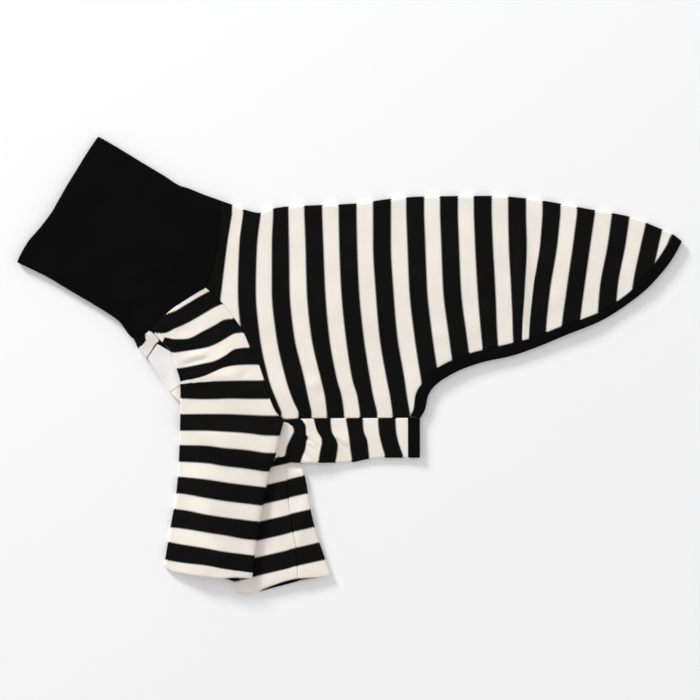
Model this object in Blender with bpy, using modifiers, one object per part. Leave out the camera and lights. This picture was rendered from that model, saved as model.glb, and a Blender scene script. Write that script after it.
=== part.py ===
"""A sighthound's knitted shirt, laid flat on its far side.

The shirt lies on the XY plane with its underside at z = 0, its spine towards +Y and its tail
tip towards +X. The origin is under the middle of it. Plans and heights are in millimetres,
and `cloth` turns them into metres. Each piece is one wall of cloth: rows of points run along
its middle surface, from one edge of the piece, round its fold, to the other edge.

Heights come from the stack of layers. From the floor up at the shoulder these are the far
sleeve's two walls, the two halves of the chest panel, and the near sleeve's two walls.
"""

import math
from bisect import bisect_right
from collections import namedtuple
from itertools import pairwise

import bmesh
import bpy
from mathutils import Vector

MM = 0.001

# Cloth
JERSEY = 1.0
COLLAR_WALL = 2.2
BAND_WALL = 1.8
LABEL_WALL = 1.0
SEAM_GAP = 0.3
CLEARANCE = 0.35

# Heights from one layer's middle to the next
PACKED = JERSEY + CLEARANCE
LOOSE = 2.1
COLLAR_LOOSE = 3.0
NECK_RISE = 0.8

# How far from a layer's edge the cloth above it comes down again
STACK_MARGIN = 1.2
STACK_RUN = 13.0
SHOULDER_RUN = 30.0
UPHILL = Vector((0.57, 0.82))
SIDE_SEAM_RUN = 36.0
NECK_RUN = 16.0

FOLD_STEPS = 5
LABEL_LIFT = JERSEY / 2 + 0.35 + LABEL_WALL / 2
FAR_CUFF_DROP = 2.2

Finish = namedtuple("Finish", "colour roughness")
STRIPED = Finish((0.78, 0.74, 0.68), 0.85)
BLACK = Finish((0.012, 0.012, 0.013), 0.9)
WOVEN_WHITE = Finish((0.86, 0.86, 0.85), 0.6)

Point = namedtuple("Point", "x y")
OUTLINE_MIDDLE = Point(0.4, 0.9)

# Outlines and seams, seen from above
SPINE = [
    Point(-104.5, 132.5), Point(-91.5, 128.0), Point(-83.0, 125.0), Point(-72.0, 123.0),
    Point(-61.5, 126.0), Point(-49.0, 127.5), Point(5.0, 130.0), Point(31.5, 134.0),
    Point(59.0, 136.0), Point(114.0, 136.5), Point(141.0, 134.5), Point(196.5, 125.0),
    Point(223.5, 120.0), Point(250.5, 109.5), Point(259.0, 106.0), Point(265.5, 100.5),
]
RAGLAN = [
    Point(-115.5, 63.5), Point(-101.5, 50.5), Point(-92.5, 39.0), Point(-84.5, 27.0),
    Point(-79.0, 14.5), Point(-72.5, 2.0), Point(-68.0, -11.0), Point(-63.5, -26.0),
    Point(-57.5, -38.0), Point(-51.0, -42.0),
]
SIDE_SEAM = [Point(-39.5, -41.5), Point(47.5, -41.0)]
HEM = [
    Point(49.0, -39.0), Point(51.5, -34.5), Point(53.0, -23.0), Point(58.0, -14.0),
    Point(71.0, -1.0), Point(95.5, 10.0), Point(119.5, 16.0), Point(144.0, 22.0),
    Point(171.0, 32.5), Point(198.5, 42.5), Point(213.0, 51.0), Point(227.0, 62.0),
    Point(243.0, 80.5), Point(254.0, 97.0), Point(258.5, 106.3),
]
BAND_EDGE = [
    Point(56.5, -40.5), Point(60.0, -34.0), Point(62.5, -23.0), Point(67.5, -15.5),
    Point(76.0, -9.0), Point(90.5, -1.5), Point(109.0, 4.5), Point(128.0, 8.5),
    Point(147.5, 15.0), Point(173.0, 25.5), Point(199.0, 36.0), Point(211.5, 43.0),
    Point(224.5, 52.0), Point(237.0, 62.0), Point(250.0, 76.0), Point(256.5, 84.5),
    Point(263.0, 95.5), Point(265.5, 100.5),
]
BREAST_FOLD = [
    Point(-172.5, 23.0), Point(-169.0, 15.0), Point(-162.0, 6.5), Point(-153.0, -6.0),
    Point(-143.5, -20.5),
]
HIDDEN_FOLD = [
    Point(-135.0, -29.0), Point(-126.0, -41.6), Point(-116.5, -53.0), Point(-87.5, -68.5),
    Point(-59.5, -75.0),
]
BELLY_FOLD = [
    Point(-39.5, -77.0), Point(-23.5, -77.0), Point(2.0, -76.5), Point(15.0, -74.0),
    Point(28.5, -73.0), Point(57.0, -73.0),
]
CHEST_FOLD = BREAST_FOLD + HIDDEN_FOLD + BELLY_FOLD
FRONT_SEAM_UNDER_SLEEVE = [
    Point(-138.0, 9.0), Point(-127.5, 2.5), Point(-106.0, -11.0), Point(-79.5, -27.5),
    Point(-51.0, -42.6),
]
FRONT_SEAM_IN_SIGHT = [
    Point(-159.5, 29.0), Point(-156.5, 26.5), Point(-151.0, 21.0), Point(-142.0, 11.5),
]
SHOULDER_LEAD = FRONT_SEAM_IN_SIGHT + [Point(-138.0, -2.0), Point(-135.2, -12.5)]
NEAR_LEAD = SHOULDER_LEAD + [
    Point(-135.0, -25.0), Point(-135.5, -50.0), Point(-136.5, -75.5), Point(-138.5, -101.0),
    Point(-143.0, -127.5), Point(-148.0, -157.5),
]
NEAR_RIGHT = [
    Point(-52.5, -43.5), Point(-56.0, -56.5), Point(-59.0, -70.5), Point(-64.0, -84.0),
    Point(-69.0, -109.5), Point(-74.0, -138.0), Point(-77.0, -163.0), Point(-78.0, -170.0),
]
FAR_LEAD = SHOULDER_LEAD + [
    Point(-131.5, -38.0), Point(-122.0, -71.0), Point(-112.5, -107.0), Point(-102.0, -143.0),
    Point(-91.0, -180.0),
]
FAR_RIGHT = [
    Point(-51.5, -43.5), Point(-47.0, -59.0), Point(-39.5, -76.5), Point(-36.0, -89.5),
    Point(-31.5, -116.0), Point(-28.5, -128.0), Point(-24.0, -141.5), Point(-16.0, -167.0),
]
COLLAR_NAPE_SIDE = [
    Point(-200.0, 183.5), Point(-188.5, 177.0), Point(-147.0, 153.5), Point(-135.0, 144.5),
    Point(-130.0, 143.0), Point(-118.0, 138.0), Point(-104.5, 132.5),
]
COLLAR_THROAT_SIDE = [
    Point(-265.0, 83.5), Point(-241.0, 72.0), Point(-227.0, 63.0), Point(-195.0, 44.0),
    Point(-184.0, 36.5), Point(-175.0, 24.5), Point(-172.5, 23.0),
]

# Each span of the neck seam is a shallow arc between two joints.
NAPE, BACK_JOINT = Vector(SPINE[0]), Vector(RAGLAN[0])
FRONT_JOINT, THROAT = Vector(NEAR_LEAD[0]), Vector(CHEST_FOLD[0])
NECK_BACK_BOW = 3.5
NECK_SLEEVE_BOW = -4.0
NECK_CHEST_BOW = 0.0

# The collar's rows crowd a little towards the neck seam.
COLLAR_FREE_BOW = -1.0
COLLAR_ROWS = 12
COLLAR_CROWDING = 1.3

# Sections of the back panel, each from the spine to the lower edge along a stripe's line
BackSection = namedtuple("BackSection", "spine_x edge_x bow steps")
BACK_SECTIONS = [
    BackSection(-104.1, -115.5, NECK_BACK_BOW, 2),
    BackSection(-91.5, -101.5, -2.0, 2),
    BackSection(-87.5, -92.5, -2.2, 2),
    BackSection(-84.3, -84.5, -2.6, 2),
    BackSection(-82.2, -79.0, -4.0, 2),
    BackSection(-80.0, -72.5, -5.5, 2),
    BackSection(-78.0, -68.0, -6.5, 2),
    BackSection(-76.0, -63.5, -7.5, 2),
    BackSection(-73.5, -57.5, -10.0, 2),
    BackSection(-70.0, -51.0, -13.0, 2),
    BackSection(-49.0, -30.5, -6.7, 3),
    BackSection(-22.0, -4.5, -5.4, 3),
    BackSection(5.5, 22.5, -5.0, 3),
    BackSection(32.5, 47.5, -4.5, 1),
    BackSection(38.5, 51.5, -4.2, 1),
    BackSection(43.0, 53.0, -3.9, 2),
    BackSection(49.5, 58.0, -3.7, 2),
    BackSection(59.5, 71.0, -3.3, 3),
    BackSection(86.5, 95.5, -2.5, 3),
    BackSection(113.5, 118.5, -0.3, 3),
    BackSection(141.0, 137.5, 1.9, 3),
    BackSection(168.5, 157.5, 0.0, 3),
    BackSection(196.5, 184.0, 0.0, 3),
    BackSection(224.0, 213.0, -0.5, 3),
    BackSection(249.5, 241.0, 0.0, 2),
    BackSection(257.6, 255.4, 0.0, 0),
]

# Sections of the chest panel, each from its middle fold to its upper edge
ChestSection = namedtuple("ChestSection", "fold_x edge_x bow steps")
CHEST_SECTIONS = [
    ChestSection(-172.2, -160.2, NECK_CHEST_BOW, 1),
    ChestSection(-167.0, -156.0, 0.0, 1),
    ChestSection(-160.0, -150.0, 0.0, 1),
    ChestSection(-153.0, -143.2, 0.0, 2),
    ChestSection(-141.0, -122.0, 0.0, 2),
    ChestSection(-121.0, -98.0, 0.0, 3),
    ChestSection(-87.5, -70.0, 0.0, 3),
    ChestSection(-55.5, -51.0, 0.0, 2),
    ChestSection(-37.5, -38.0, 3.5, 2),
    ChestSection(-17.0, -21.5, 3.0, 2),
    ChestSection(2.0, -2.5, 0.0, 2),
    ChestSection(22.0, 16.5, 0.4, 3),
    ChestSection(46.8, 46.6, 0.0, 0),
]

# Sections of the shoulder, shared by both sleeves: back seam, leading fold and front seam
ShoulderSection = namedtuple("ShoulderSection", "back_x lead_y front_x front_y bow steps")
SHOULDER_SECTIONS = [
    ShoulderSection(-115.5, 29.0, -156.4, 31.4, NECK_SLEEVE_BOW, 2),
    ShoulderSection(-101.5, 26.5, -152.8, 28.0, 2.0, 2),
    ShoulderSection(-92.5, 20.5, -147.0, 21.6, 3.0, 2),
    ShoulderSection(-84.5, 11.5, -137.5, 11.5, 3.5, 2),
    ShoulderSection(-79.0, -1.0, -122.0, -1.0, 0.0, 2),
    ShoulderSection(-72.5, -12.0, -104.0, -12.2, -1.6, 2),
    ShoulderSection(-68.0, -19.5, -91.0, -20.3, -0.5, 2),
    ShoulderSection(-63.5, -26.0, -79.5, -27.5, 0.0, 2),
    ShoulderSection(-57.5, -38.0, -63.5, -36.5, -0.5, 1),
]

# Sections of the sleeves' tubes below the armpit, from the tail side to the head side
TubeSection = namedtuple("TubeSection", "right_y lead_y bow steps")
NEAR_TUBE_SECTIONS = [
    TubeSection(-43.5, -42.5, -0.8, 1),
    TubeSection(-56.5, -51.0, -1.2, 2),
    TubeSection(-70.5, -63.5, -1.0, 2),
    TubeSection(-84.0, -76.0, 0.0, 3),
    TubeSection(-110.5, -102.0, 0.0, 3),
    TubeSection(-138.5, -128.0, 1.0, 3),
    TubeSection(-164.5, -155.0, 2.5, 1),
    TubeSection(-170.0, -157.5, 4.5, 0),
]
FAR_TUBE_SECTIONS = [
    TubeSection(-43.5, -42.5, 0.0, 2),
    TubeSection(-59.0, -62.0, 0.0, 2),
    TubeSection(-76.5, -90.0, 0.0, 2),
    TubeSection(-89.5, -108.5, 0.0, 3),
    TubeSection(-116.0, -131.0, 0.0, 3),
    TubeSection(-141.5, -155.5, 0.0, 3),
    TubeSection(-167.0, -180.0, -1.0, 0),
]

# The bands' columns across, and the belly's band in plan
BAND_COLUMNS = 2
BELLY_BAND_LEFT, BELLY_BAND_RIGHT = 47.2, 56.3

# Sections of the hem's band, each across it
BandSection = namedtuple("BandSection", "inner_x outer_x")
BAND_SECTIONS = [
    BandSection(48.6, 56.5), BandSection(51.5, 60.3), BandSection(53.0, 62.5),
    BandSection(55.2, 64.8), BandSection(58.0, 67.3), BandSection(63.5, 70.8),
    BandSection(71.0, 76.0), BandSection(79.0, 83.0), BandSection(87.0, 90.5),
    BandSection(95.5, 98.5), BandSection(107.5, 110.0), BandSection(119.5, 122.0),
    BandSection(131.5, 134.5), BandSection(144.0, 147.5), BandSection(157.5, 161.5),
    BandSection(171.0, 174.0), BandSection(184.5, 187.0), BandSection(198.5, 200.5),
    BandSection(206.0, 208.5), BandSection(213.0, 216.0), BandSection(220.0, 223.5),
    BandSection(227.0, 231.0), BandSection(235.0, 240.5), BandSection(243.0, 249.5),
    BandSection(249.5, 257.0), BandSection(254.5, 262.5),
]
BAND_TIP = BandSection(258.3, 265.5)

# The label's edges, beside the chest's fold and beside the sleeve's leading fold
LabelSection = namedtuple("LabelSection", "outer_x outer_y inner_x inner_y")
LABEL_SECTIONS = [
    LabelSection(-161.6, 6.8, -153.8, 18.4),
    LabelSection(-156.8, -1.0, -148.0, 14.9),
    LabelSection(-151.6, -9.0, -142.9, 10.6),
    LabelSection(-147.4, -15.2, -139.3, -0.5),
    LabelSection(-144.0, -20.5, -136.7, -12.5),
]

# Soft rises where air or a slack fold holds the upper cloth up
Puff = namedtuple("Puff", "x y reach_x reach_y height")
PUFFS = [
    Puff(-235.0, 120.0, 20.0, 26.0, 0.9),
    Puff(-160.0, 95.0, 30.0, 26.0, 1.1),
    Puff(-20.0, 45.0, 38.0, 42.0, 1.5),
    Puff(75.0, 70.0, 34.0, 34.0, 1.2),
    Puff(172.0, 84.0, 30.0, 24.0, 1.3),
    Puff(-100.0, -5.0, 20.0, 20.0, 0.7),
    Puff(-105.0, -105.0, 20.0, 30.0, 1.1),
    Puff(-38.0, -125.0, 9.0, 22.0, 0.9),
    Puff(0.0, -60.0, 22.0, 9.0, 0.8),
]

# Soft ridges along the largest creases
Crease = namedtuple("Crease", "x0 y0 x1 y1 reach height")
CREASES = [
    Crease(139.0, 118.0, 137.5, 26.0, 5.0, 1.6),
    Crease(-134.0, -13.0, -82.0, -4.0, 4.5, 0.9),
    Crease(-190.0, 50.0, -146.0, 62.0, 7.0, 0.9),
    Crease(-34.0, -58.0, -14.0, -70.0, 4.0, 0.9),
    Crease(-45.0, -18.0, -12.0, -10.0, 5.0, 0.7),
    Crease(-57.0, -86.0, -57.0, -150.0, 5.0, 0.7),
    Crease(-112.0, 30.0, -80.0, -6.0, 6.0, 0.7),
]


class Glide:
    """A smooth curve through values at rising knots, which never swings past a value."""

    def __init__(self, knots, values):
        self.knots, self.values = list(knots), list(values)
        rises = [
            (v1 - v0) / (k1 - k0)
            for (k0, v0), (k1, v1) in pairwise(zip(self.knots, self.values))
        ]
        inner = [
            2 * before * after / (before + after) if before * after > 0 else 0.0
            for before, after in pairwise(rises)
        ]
        self.slopes = [rises[0], *inner, rises[-1]]

    def __call__(self, at):
        at = min(max(at, self.knots[0]), self.knots[-1])
        i = min(bisect_right(self.knots, at), len(self.knots) - 1) - 1
        run = self.knots[i + 1] - self.knots[i]
        t = (at - self.knots[i]) / run
        return (
            (1 + 2 * t) * (1 - t) ** 2 * self.values[i]
            + t * (1 - t) ** 2 * run * self.slopes[i]
            + t * t * (3 - 2 * t) * self.values[i + 1]
            + t * t * (t - 1) * run * self.slopes[i + 1]
        )


def along_x(points):
    """An outline that runs along X, as y for each x."""
    ordered = sorted(points)
    return Glide([p.x for p in ordered], [p.y for p in ordered])


def along_y(points):
    """An outline that runs along Y, as x for each y."""
    ordered = sorted(points, key=lambda p: p.y)
    return Glide([p.y for p in ordered], [p.x for p in ordered])


def on_x(curve, x, inset=0.0):
    """A curve's point at x, moved to the curve's left as it runs along +X."""
    slope = Vector((0.02, curve(x + 0.01) - curve(x - 0.01))).normalized()
    return Vector((x, curve(x))) + Vector((-slope.y, slope.x)) * inset


def on_y(curve, y):
    return Vector((curve(y), y))


def beside_sleeve(point):
    """The chest panel's edge beside the leading fold, where the front seam shows."""
    return Point(point.x - 0.55, point.y - 0.55)


spine = along_x(SPINE)
back_edge = along_x(RAGLAN + SIDE_SEAM + HEM)
band_edge = along_x(BAND_EDGE)
chest_fold = along_x(CHEST_FOLD)
chest_edge = along_x(
    [beside_sleeve(p) for p in FRONT_SEAM_IN_SIGHT] + FRONT_SEAM_UNDER_SLEEVE + SIDE_SEAM
)
near_lead, near_right = along_y(NEAR_LEAD), along_y(NEAR_RIGHT)
far_lead, far_right = along_y(FAR_LEAD), along_y(FAR_RIGHT)
collar_nape_side, collar_throat_side = along_x(COLLAR_NAPE_SIDE), along_x(COLLAR_THROAT_SIDE)

# The areas that lie on or under another layer
FAR_STACK = FAR_LEAD + FAR_RIGHT[::-1] + FRONT_SEAM_UNDER_SLEEVE[::-1]
CHEST_UNDER_SLEEVE = (
    [Point(-145.0, 14.0)] + NEAR_LEAD[4:7] + HIDDEN_FOLD + BELLY_FOLD[:1]
    + [Point(-47.0, -43.0)] + FRONT_SEAM_UNDER_SLEEVE[::-1]
)
NEAR_SLEEVE_COVER = NEAR_LEAD + NEAR_RIGHT[::-1] + RAGLAN[::-1]
BELLY_COVER = HIDDEN_FOLD[3:] + BELLY_FOLD + SIDE_SEAM[::-1] + [Point(-51.0, -42.0)]


def ease(t):
    """0 below 0, 1 above 1, and smooth between."""
    t = min(max(t, 0.0), 1.0)
    return t * t * (3 - 2 * t)


def way_out(outline, place):
    """The vector to a place from the nearest point of an outline, or zero inside it."""
    inside, nearest = False, None
    for a, b in pairwise([*outline, outline[0]]):
        if (a.y > place.y) != (b.y > place.y):
            inside ^= place.x < a.x + (place.y - a.y) * (b.x - a.x) / (b.y - a.y)
        side = Vector(b) - Vector(a)
        share = min(max((place - Vector(a)).dot(side) / side.length_squared, 0.0), 1.0)
        away = place - Vector(a) - side * share
        if nearest is None or away.length < nearest.length:
            nearest = away
    return Vector((0.0, 0.0)) if inside else nearest


def lifted_by(outline, place):
    """1 over an outline, easing to 0 around it: slowly up the shoulder, soon elsewhere."""
    away = way_out(outline, place)
    if away.length <= STACK_MARGIN:
        return 1.0
    run = STACK_RUN + SHOULDER_RUN * max(0.0, away.normalized().dot(UPHILL))
    return ease(1 - (away.length - STACK_MARGIN) / run)


def far_sleeve_lift(place):
    return lifted_by(FAR_STACK, place)


def chest_lift(place):
    return lifted_by(CHEST_UNDER_SLEEVE, place)


def neck_lift(place):
    """The rise towards the collar's thick end."""
    steps = 8
    spans = [(NAPE, BACK_JOINT), (BACK_JOINT, FRONT_JOINT), (FRONT_JOINT, THROAT)]
    seam = [a.lerp(b, k / steps) for a, b in spans for k in range(steps + 1)]
    away = min((place - p).length for p in seam)
    return NECK_RISE * ease(1 - away / NECK_RUN)


def relief(place):
    """How far puffs and creases hold the upper cloth above its plain height."""
    rise = 0.0
    for p in PUFFS:
        across = ((place.x - p.x) / p.reach_x) ** 2 + ((place.y - p.y) / p.reach_y) ** 2
        rise += p.height * math.exp(-across)
    for c in CREASES:
        start, end = Vector((c.x0, c.y0)), Vector((c.x1, c.y1))
        line = end - start
        share = (place - start).dot(line) / line.length_squared
        off = (place - start - line * min(max(share, 0.0), 1.0)).length / c.reach
        rise += c.height * math.exp(-off * off) * ease(2 - abs(4 * share - 2))
    return rise


# The middle height of each layer at a place
def on_floor(place):
    return JERSEY / 2


def collar_on_floor(place):
    return COLLAR_WALL / 2


def collar_over(place):
    return COLLAR_WALL / 2 + COLLAR_LOOSE + PACKED * far_sleeve_lift(place) + relief(place)


def back_over(place):
    far = far_sleeve_lift(place)
    from_side_seam = ease((place.y - SIDE_SEAM[0].y) / SIDE_SEAM_RUN)
    shoulder = sleeve_over_rise() * (far + chest_lift(place)) - chest_over_rise() * far
    return (
        JERSEY / 2 + LOOSE + chest_over_rise() * far + from_side_seam * shoulder
        + neck_lift(place) + relief(place)
    )


def chest_over_rise():
    """The rise of the chest panel's upper half where the far sleeve lies under it."""
    return 3 * PACKED - LOOSE


def sleeve_over_rise():
    """The rise of the near sleeve's upper wall for each pair of walls under it."""
    return (5 * PACKED - LOOSE) / 2


def chest_far(place):
    return JERSEY / 2 + 2 * PACKED * far_sleeve_lift(place)


def chest_over(place):
    bare = 1 - lifted_by(NEAR_SLEEVE_COVER, place)
    return (
        JERSEY / 2 + LOOSE + chest_over_rise() * far_sleeve_lift(place)
        + neck_lift(place) + bare * relief(place)
    )


def sleeve_under(place):
    return JERSEY / 2 + 2 * PACKED * (far_sleeve_lift(place) + chest_lift(place))


def sleeve_over(place):
    pairs = far_sleeve_lift(place) + chest_lift(place)
    return JERSEY / 2 + LOOSE + sleeve_over_rise() * pairs + neck_lift(place) + relief(place)


def far_sleeve_inner(place):
    bare = (1 - lifted_by(NEAR_SLEEVE_COVER, place)) * (1 - lifted_by(BELLY_COVER, place))
    return JERSEY / 2 + PACKED + bare * (LOOSE - PACKED + relief(place))


def arc_between(start, end, bow):
    """A shallow arc in plan that bulges by bow to the left of its way from start to end."""
    way = end - start
    left = Vector((-way.y, way.x)).normalized()
    return lambda s: start + way * s + left * (4 * bow * s * (1 - s))


def spread_rows(rows):
    """The rows and the steps between them, each column on its own smooth curve."""
    kind = type(rows[0])
    numbers = range(len(rows))
    columns = [Glide(numbers, column) for column in zip(*rows)]
    places = [i + k / row.steps for i, row in enumerate(rows[:-1]) for k in range(row.steps)]
    return [kind(*(column(at) for column in columns)) for at in [*places, len(rows) - 1]]


def at_height(place, height):
    return Vector((place.x, place.y, height))


def fold_middle(path, upper, lower, wall):
    """How far along a path its fold begins, so that the cloth ends at the path's end."""
    end, short = path(1.0), path(0.98)
    length = (end - short).length / 0.02
    reach = abs(upper(short) - lower(short)) / 2 + wall / 2
    return 1 - reach / length


def half_turn(path, share, upper, lower):
    """The cloth's points round a fold, between its two layers."""
    middle = path(share)
    outward = (path(min(share + 0.02, 1.0)) - path(share - 0.02)).normalized()
    top, bottom = upper(middle), lower(middle)
    radius = (top - bottom) / 2
    turns = (math.pi * k / FOLD_STEPS for k in range(1, FOLD_STEPS))
    return [
        at_height(
            middle + outward * abs(radius) * math.sin(a), (top + bottom) / 2 + radius * math.cos(a)
        )
        for a in turns
    ]


def layer(path, first, last, count, height):
    """Points along a path between two shares of it, both ends included."""
    places = [path(first + (last - first) * k / count) for k in range(count + 1)]
    return [at_height(p, height(p)) for p in places]


def folded_row(path, upper, lower, counts, wall=JERSEY):
    """One row of a piece that is folded in two at the path's end."""
    fold = fold_middle(path, upper, lower, wall)
    return (
        layer(path, 0.0, fold, counts[0], upper)
        + half_turn(path, fold, upper, lower)
        + layer(path, fold, 0.0, counts[1], lower)
    )


def tube_row(path, upper, lower, counts, wall=JERSEY):
    """One row of a flattened tube: its upper wall, a fold, its lower wall and a fold."""
    def backwards(s):
        return path(1 - s)

    fold = fold_middle(path, upper, lower, wall)
    start = 1 - fold_middle(backwards, upper, lower, wall)
    return (
        layer(path, start, fold, counts[0], upper)
        + half_turn(path, fold, upper, lower)
        + layer(path, fold, start, counts[1], lower)
        + half_turn(backwards, 1 - start, lower, upper)
    )


def fabric(name, finish):
    """A material of a piece's own, in one of the finishes."""
    material = bpy.data.materials.new(name)
    material.use_nodes = True
    surface = material.node_tree.nodes["Principled BSDF"]
    surface.inputs["Base Color"].default_value = (*finish.colour, 1.0)
    surface.inputs["Roughness"].default_value = finish.roughness
    surface.inputs["Metallic"].default_value = 0.0
    return material


def cloth(name, rows, finish, wall=JERSEY, closed_all_along=False):
    """A wall of cloth through rows of points. Points past the shortest row close a tube."""
    mesh = bmesh.new()
    lines = [[mesh.verts.new(point * MM) for point in row] for row in rows]
    shortest = min(len(line) for line in lines)
    for a, b in pairwise(lines):
        closed = closed_all_along or (len(a) > shortest and len(b) > shortest)
        count = min(len(a), len(b))
        for k in range(count if closed else count - 1):
            after = (k + 1) % count
            mesh.faces.new((a[k], a[after], b[after], b[k]))
    bmesh.ops.recalc_face_normals(mesh, faces=mesh.faces)
    data = bpy.data.meshes.new(name)
    mesh.to_mesh(data)
    mesh.free()
    data.shade_smooth()
    data.materials.append(fabric(name, finish))
    piece = bpy.data.objects.new(name, data)
    piece.parent = bpy.data.objects["shirt_centre"]
    thicken = piece.modifiers.new("wall", "SOLIDIFY")
    thicken.thickness = wall * MM
    thicken.offset = 0.0
    thicken.use_even_offset = True
    thicken.use_quality_normals = True
    shirt_collection().objects.link(piece)


def shirt_collection():
    """The collection that holds the shirt's pieces."""
    found = bpy.data.collections.get("dog_shirt")
    if found is None:
        found = bpy.data.collections.new("dog_shirt")
        bpy.context.scene.collection.children.link(found)
    return found


def place_centre():
    """The empty that carries every piece and brings the outline's middle to the origin."""
    centre = bpy.data.objects.new("shirt_centre", None)
    centre.location = (-OUTLINE_MIDDLE.x * MM, -OUTLINE_MIDDLE.y * MM, 0.0)
    shirt_collection().objects.link(centre)


def build_back_panel():
    rows = []
    for row in spread_rows(BACK_SECTIONS):
        edge = on_x(back_edge, row.edge_x, SEAM_GAP / 2)
        top = Vector((row.spine_x, spine(row.spine_x)))
        rows.append(folded_row(arc_between(edge, top, -row.bow), back_over, on_floor, (9, 6)))
    cloth("back_panel", rows, STRIPED)


def build_chest_panel():
    rows = []
    for row in spread_rows(CHEST_SECTIONS):
        edge = on_x(chest_edge, row.edge_x, -SEAM_GAP / 2)
        fold = Vector((row.fold_x, chest_fold(row.fold_x)))
        path = arc_between(edge, fold, row.bow)
        rows.append(folded_row(path, chest_over, chest_far, (6, 5)))
    cloth("chest_panel", rows, STRIPED)


def shoulder_rows(lead, outer, inner):
    """Rows of a sleeve above the armpit: over the shoulder, and turned in at the front."""
    rows = []
    for row in spread_rows(SHOULDER_SECTIONS):
        seam = on_x(back_edge, row.back_x, -SEAM_GAP / 2)
        front = Vector((row.front_x, row.front_y))
        over = arc_between(seam, on_y(lead, row.lead_y), row.bow)
        fold = fold_middle(over, outer, inner, JERSEY)
        under = arc_between(over(fold), front, 0.0)
        rows.append(
            layer(over, 0.0, fold, 9, outer)
            + half_turn(over, fold, outer, inner)
            + layer(under, 0.0, 1.0, 6, inner)
        )
    return rows


def sleeve_tube_rows(sections, right, lead, outer, inner):
    """Rows of a sleeve below the armpit, each a closed ring."""
    rows = []
    for row in spread_rows(sections):
        path = arc_between(on_y(right, row.right_y), on_y(lead, row.lead_y), row.bow)
        rows.append(tube_row(path, outer, inner, (9, 6)))
    return rows


def build_near_sleeve():
    rows = shoulder_rows(near_lead, sleeve_over, sleeve_under)
    rows += sleeve_tube_rows(NEAR_TUBE_SECTIONS, near_right, near_lead, sleeve_over, sleeve_under)
    cloth("near_sleeve", rows, STRIPED)


def build_far_sleeve():
    rows = shoulder_rows(far_lead, on_floor, far_sleeve_inner)
    rows += sleeve_tube_rows(FAR_TUBE_SECTIONS, far_right, far_lead, on_floor, far_sleeve_inner)
    along = (rows[-1][0] - rows[-2][0]).normalized()
    for point in rows[-1][:10]:
        point += along * FAR_CUFF_DROP
    cloth("far_sleeve", rows, STRIPED)


def neck_seam(inset):
    """The whole neck seam from nape to throat, as a path of three arcs."""
    spans = [
        (0.0, 0.5, arc_between(BACK_JOINT, NAPE, -NECK_BACK_BOW)),
        (0.5, 0.8, arc_between(BACK_JOINT, FRONT_JOINT, NECK_SLEEVE_BOW)),
        (0.8, 1.0, arc_between(FRONT_JOINT, THROAT, NECK_CHEST_BOW)),
    ]

    def path(s):
        first, last, arc = next(span for span in spans if s <= span[1] + 1e-9)
        share = (s - first) / (last - first)
        return arc(1 - share if first == 0.0 else share) + Vector((-0.85, 0.52)) * inset

    return path


def build_collar():
    neck = neck_seam(SEAM_GAP)
    free = arc_between(
        Vector(COLLAR_NAPE_SIDE[0]), Vector(COLLAR_THROAT_SIDE[0]), COLLAR_FREE_BOW
    )
    rows = []
    for k in range(COLLAR_ROWS + 1):
        v = 1 - (1 - k / COLLAR_ROWS) ** COLLAR_CROWDING
        top_x = COLLAR_NAPE_SIDE[0].x + (neck(0).x - COLLAR_NAPE_SIDE[0].x) * v
        low_x = COLLAR_THROAT_SIDE[0].x + (neck(1).x - COLLAR_THROAT_SIDE[0].x) * v
        top = Vector((top_x, collar_nape_side(top_x)))
        low = Vector((low_x, collar_throat_side(low_x)))

        def path(s, v=v, top=top, low=low):
            across = top.lerp(low, s)
            free_bulge = free(s) - free(0).lerp(free(1), s)
            neck_bulge = neck(s) - neck(0).lerp(neck(1), s)
            return across + free_bulge.lerp(neck_bulge, v)

        rows.append(tube_row(path, collar_over, collar_on_floor, (20, 14), COLLAR_WALL))
    cloth("collar", rows, BLACK, COLLAR_WALL, closed_all_along=True)


def band_over(height):
    """The band's upper layer, level with the cloth that it is sewn to."""
    return lambda place: height(place) + (BAND_WALL - JERSEY) / 2


def band_on_floor(place):
    return BAND_WALL / 2


def build_hem_binding():
    def across(section):
        inner = on_x(back_edge, section.inner_x, -SEAM_GAP)
        return arc_between(inner, on_x(band_edge, section.outer_x), 0.0)

    paths = [across(section) for section in BAND_SECTIONS]
    over = band_over(back_over)
    upper = [layer(path, 0.0, 1.0, BAND_COLUMNS, over) for path in paths]
    lower = [layer(path, 0.0, 1.0, BAND_COLUMNS, band_on_floor) for path in paths]
    tip = across(BAND_TIP)
    round_tip = []
    for k in range(BAND_COLUMNS + 1):
        s = k / BAND_COLUMNS
        run = arc_between(paths[-1](s), tip(s), 0.0)
        fold = fold_middle(run, over, band_on_floor, BAND_WALL)
        round_tip.append([
            at_height(run(fold), over(run(fold))),
            *half_turn(run, fold, over, band_on_floor),
            at_height(run(fold), band_on_floor(run(fold))),
        ])
    turned = [list(line) for line in zip(*round_tip)]
    cloth("hem_binding", upper + turned + lower[::-1], BLACK, BAND_WALL)


def build_belly_binding():
    top_y = SIDE_SEAM[1].y - SEAM_GAP
    rows = []
    for k in range(BAND_COLUMNS + 1):
        x = BELLY_BAND_LEFT + (BELLY_BAND_RIGHT - BELLY_BAND_LEFT) * k / BAND_COLUMNS
        path = arc_between(Vector((x, top_y)), Vector((x, chest_fold(x))), 0.0)
        rows.append(folded_row(path, band_over(chest_over), band_on_floor, (6, 6), BAND_WALL))
    cloth("belly_binding", rows, BLACK, BAND_WALL)


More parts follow.
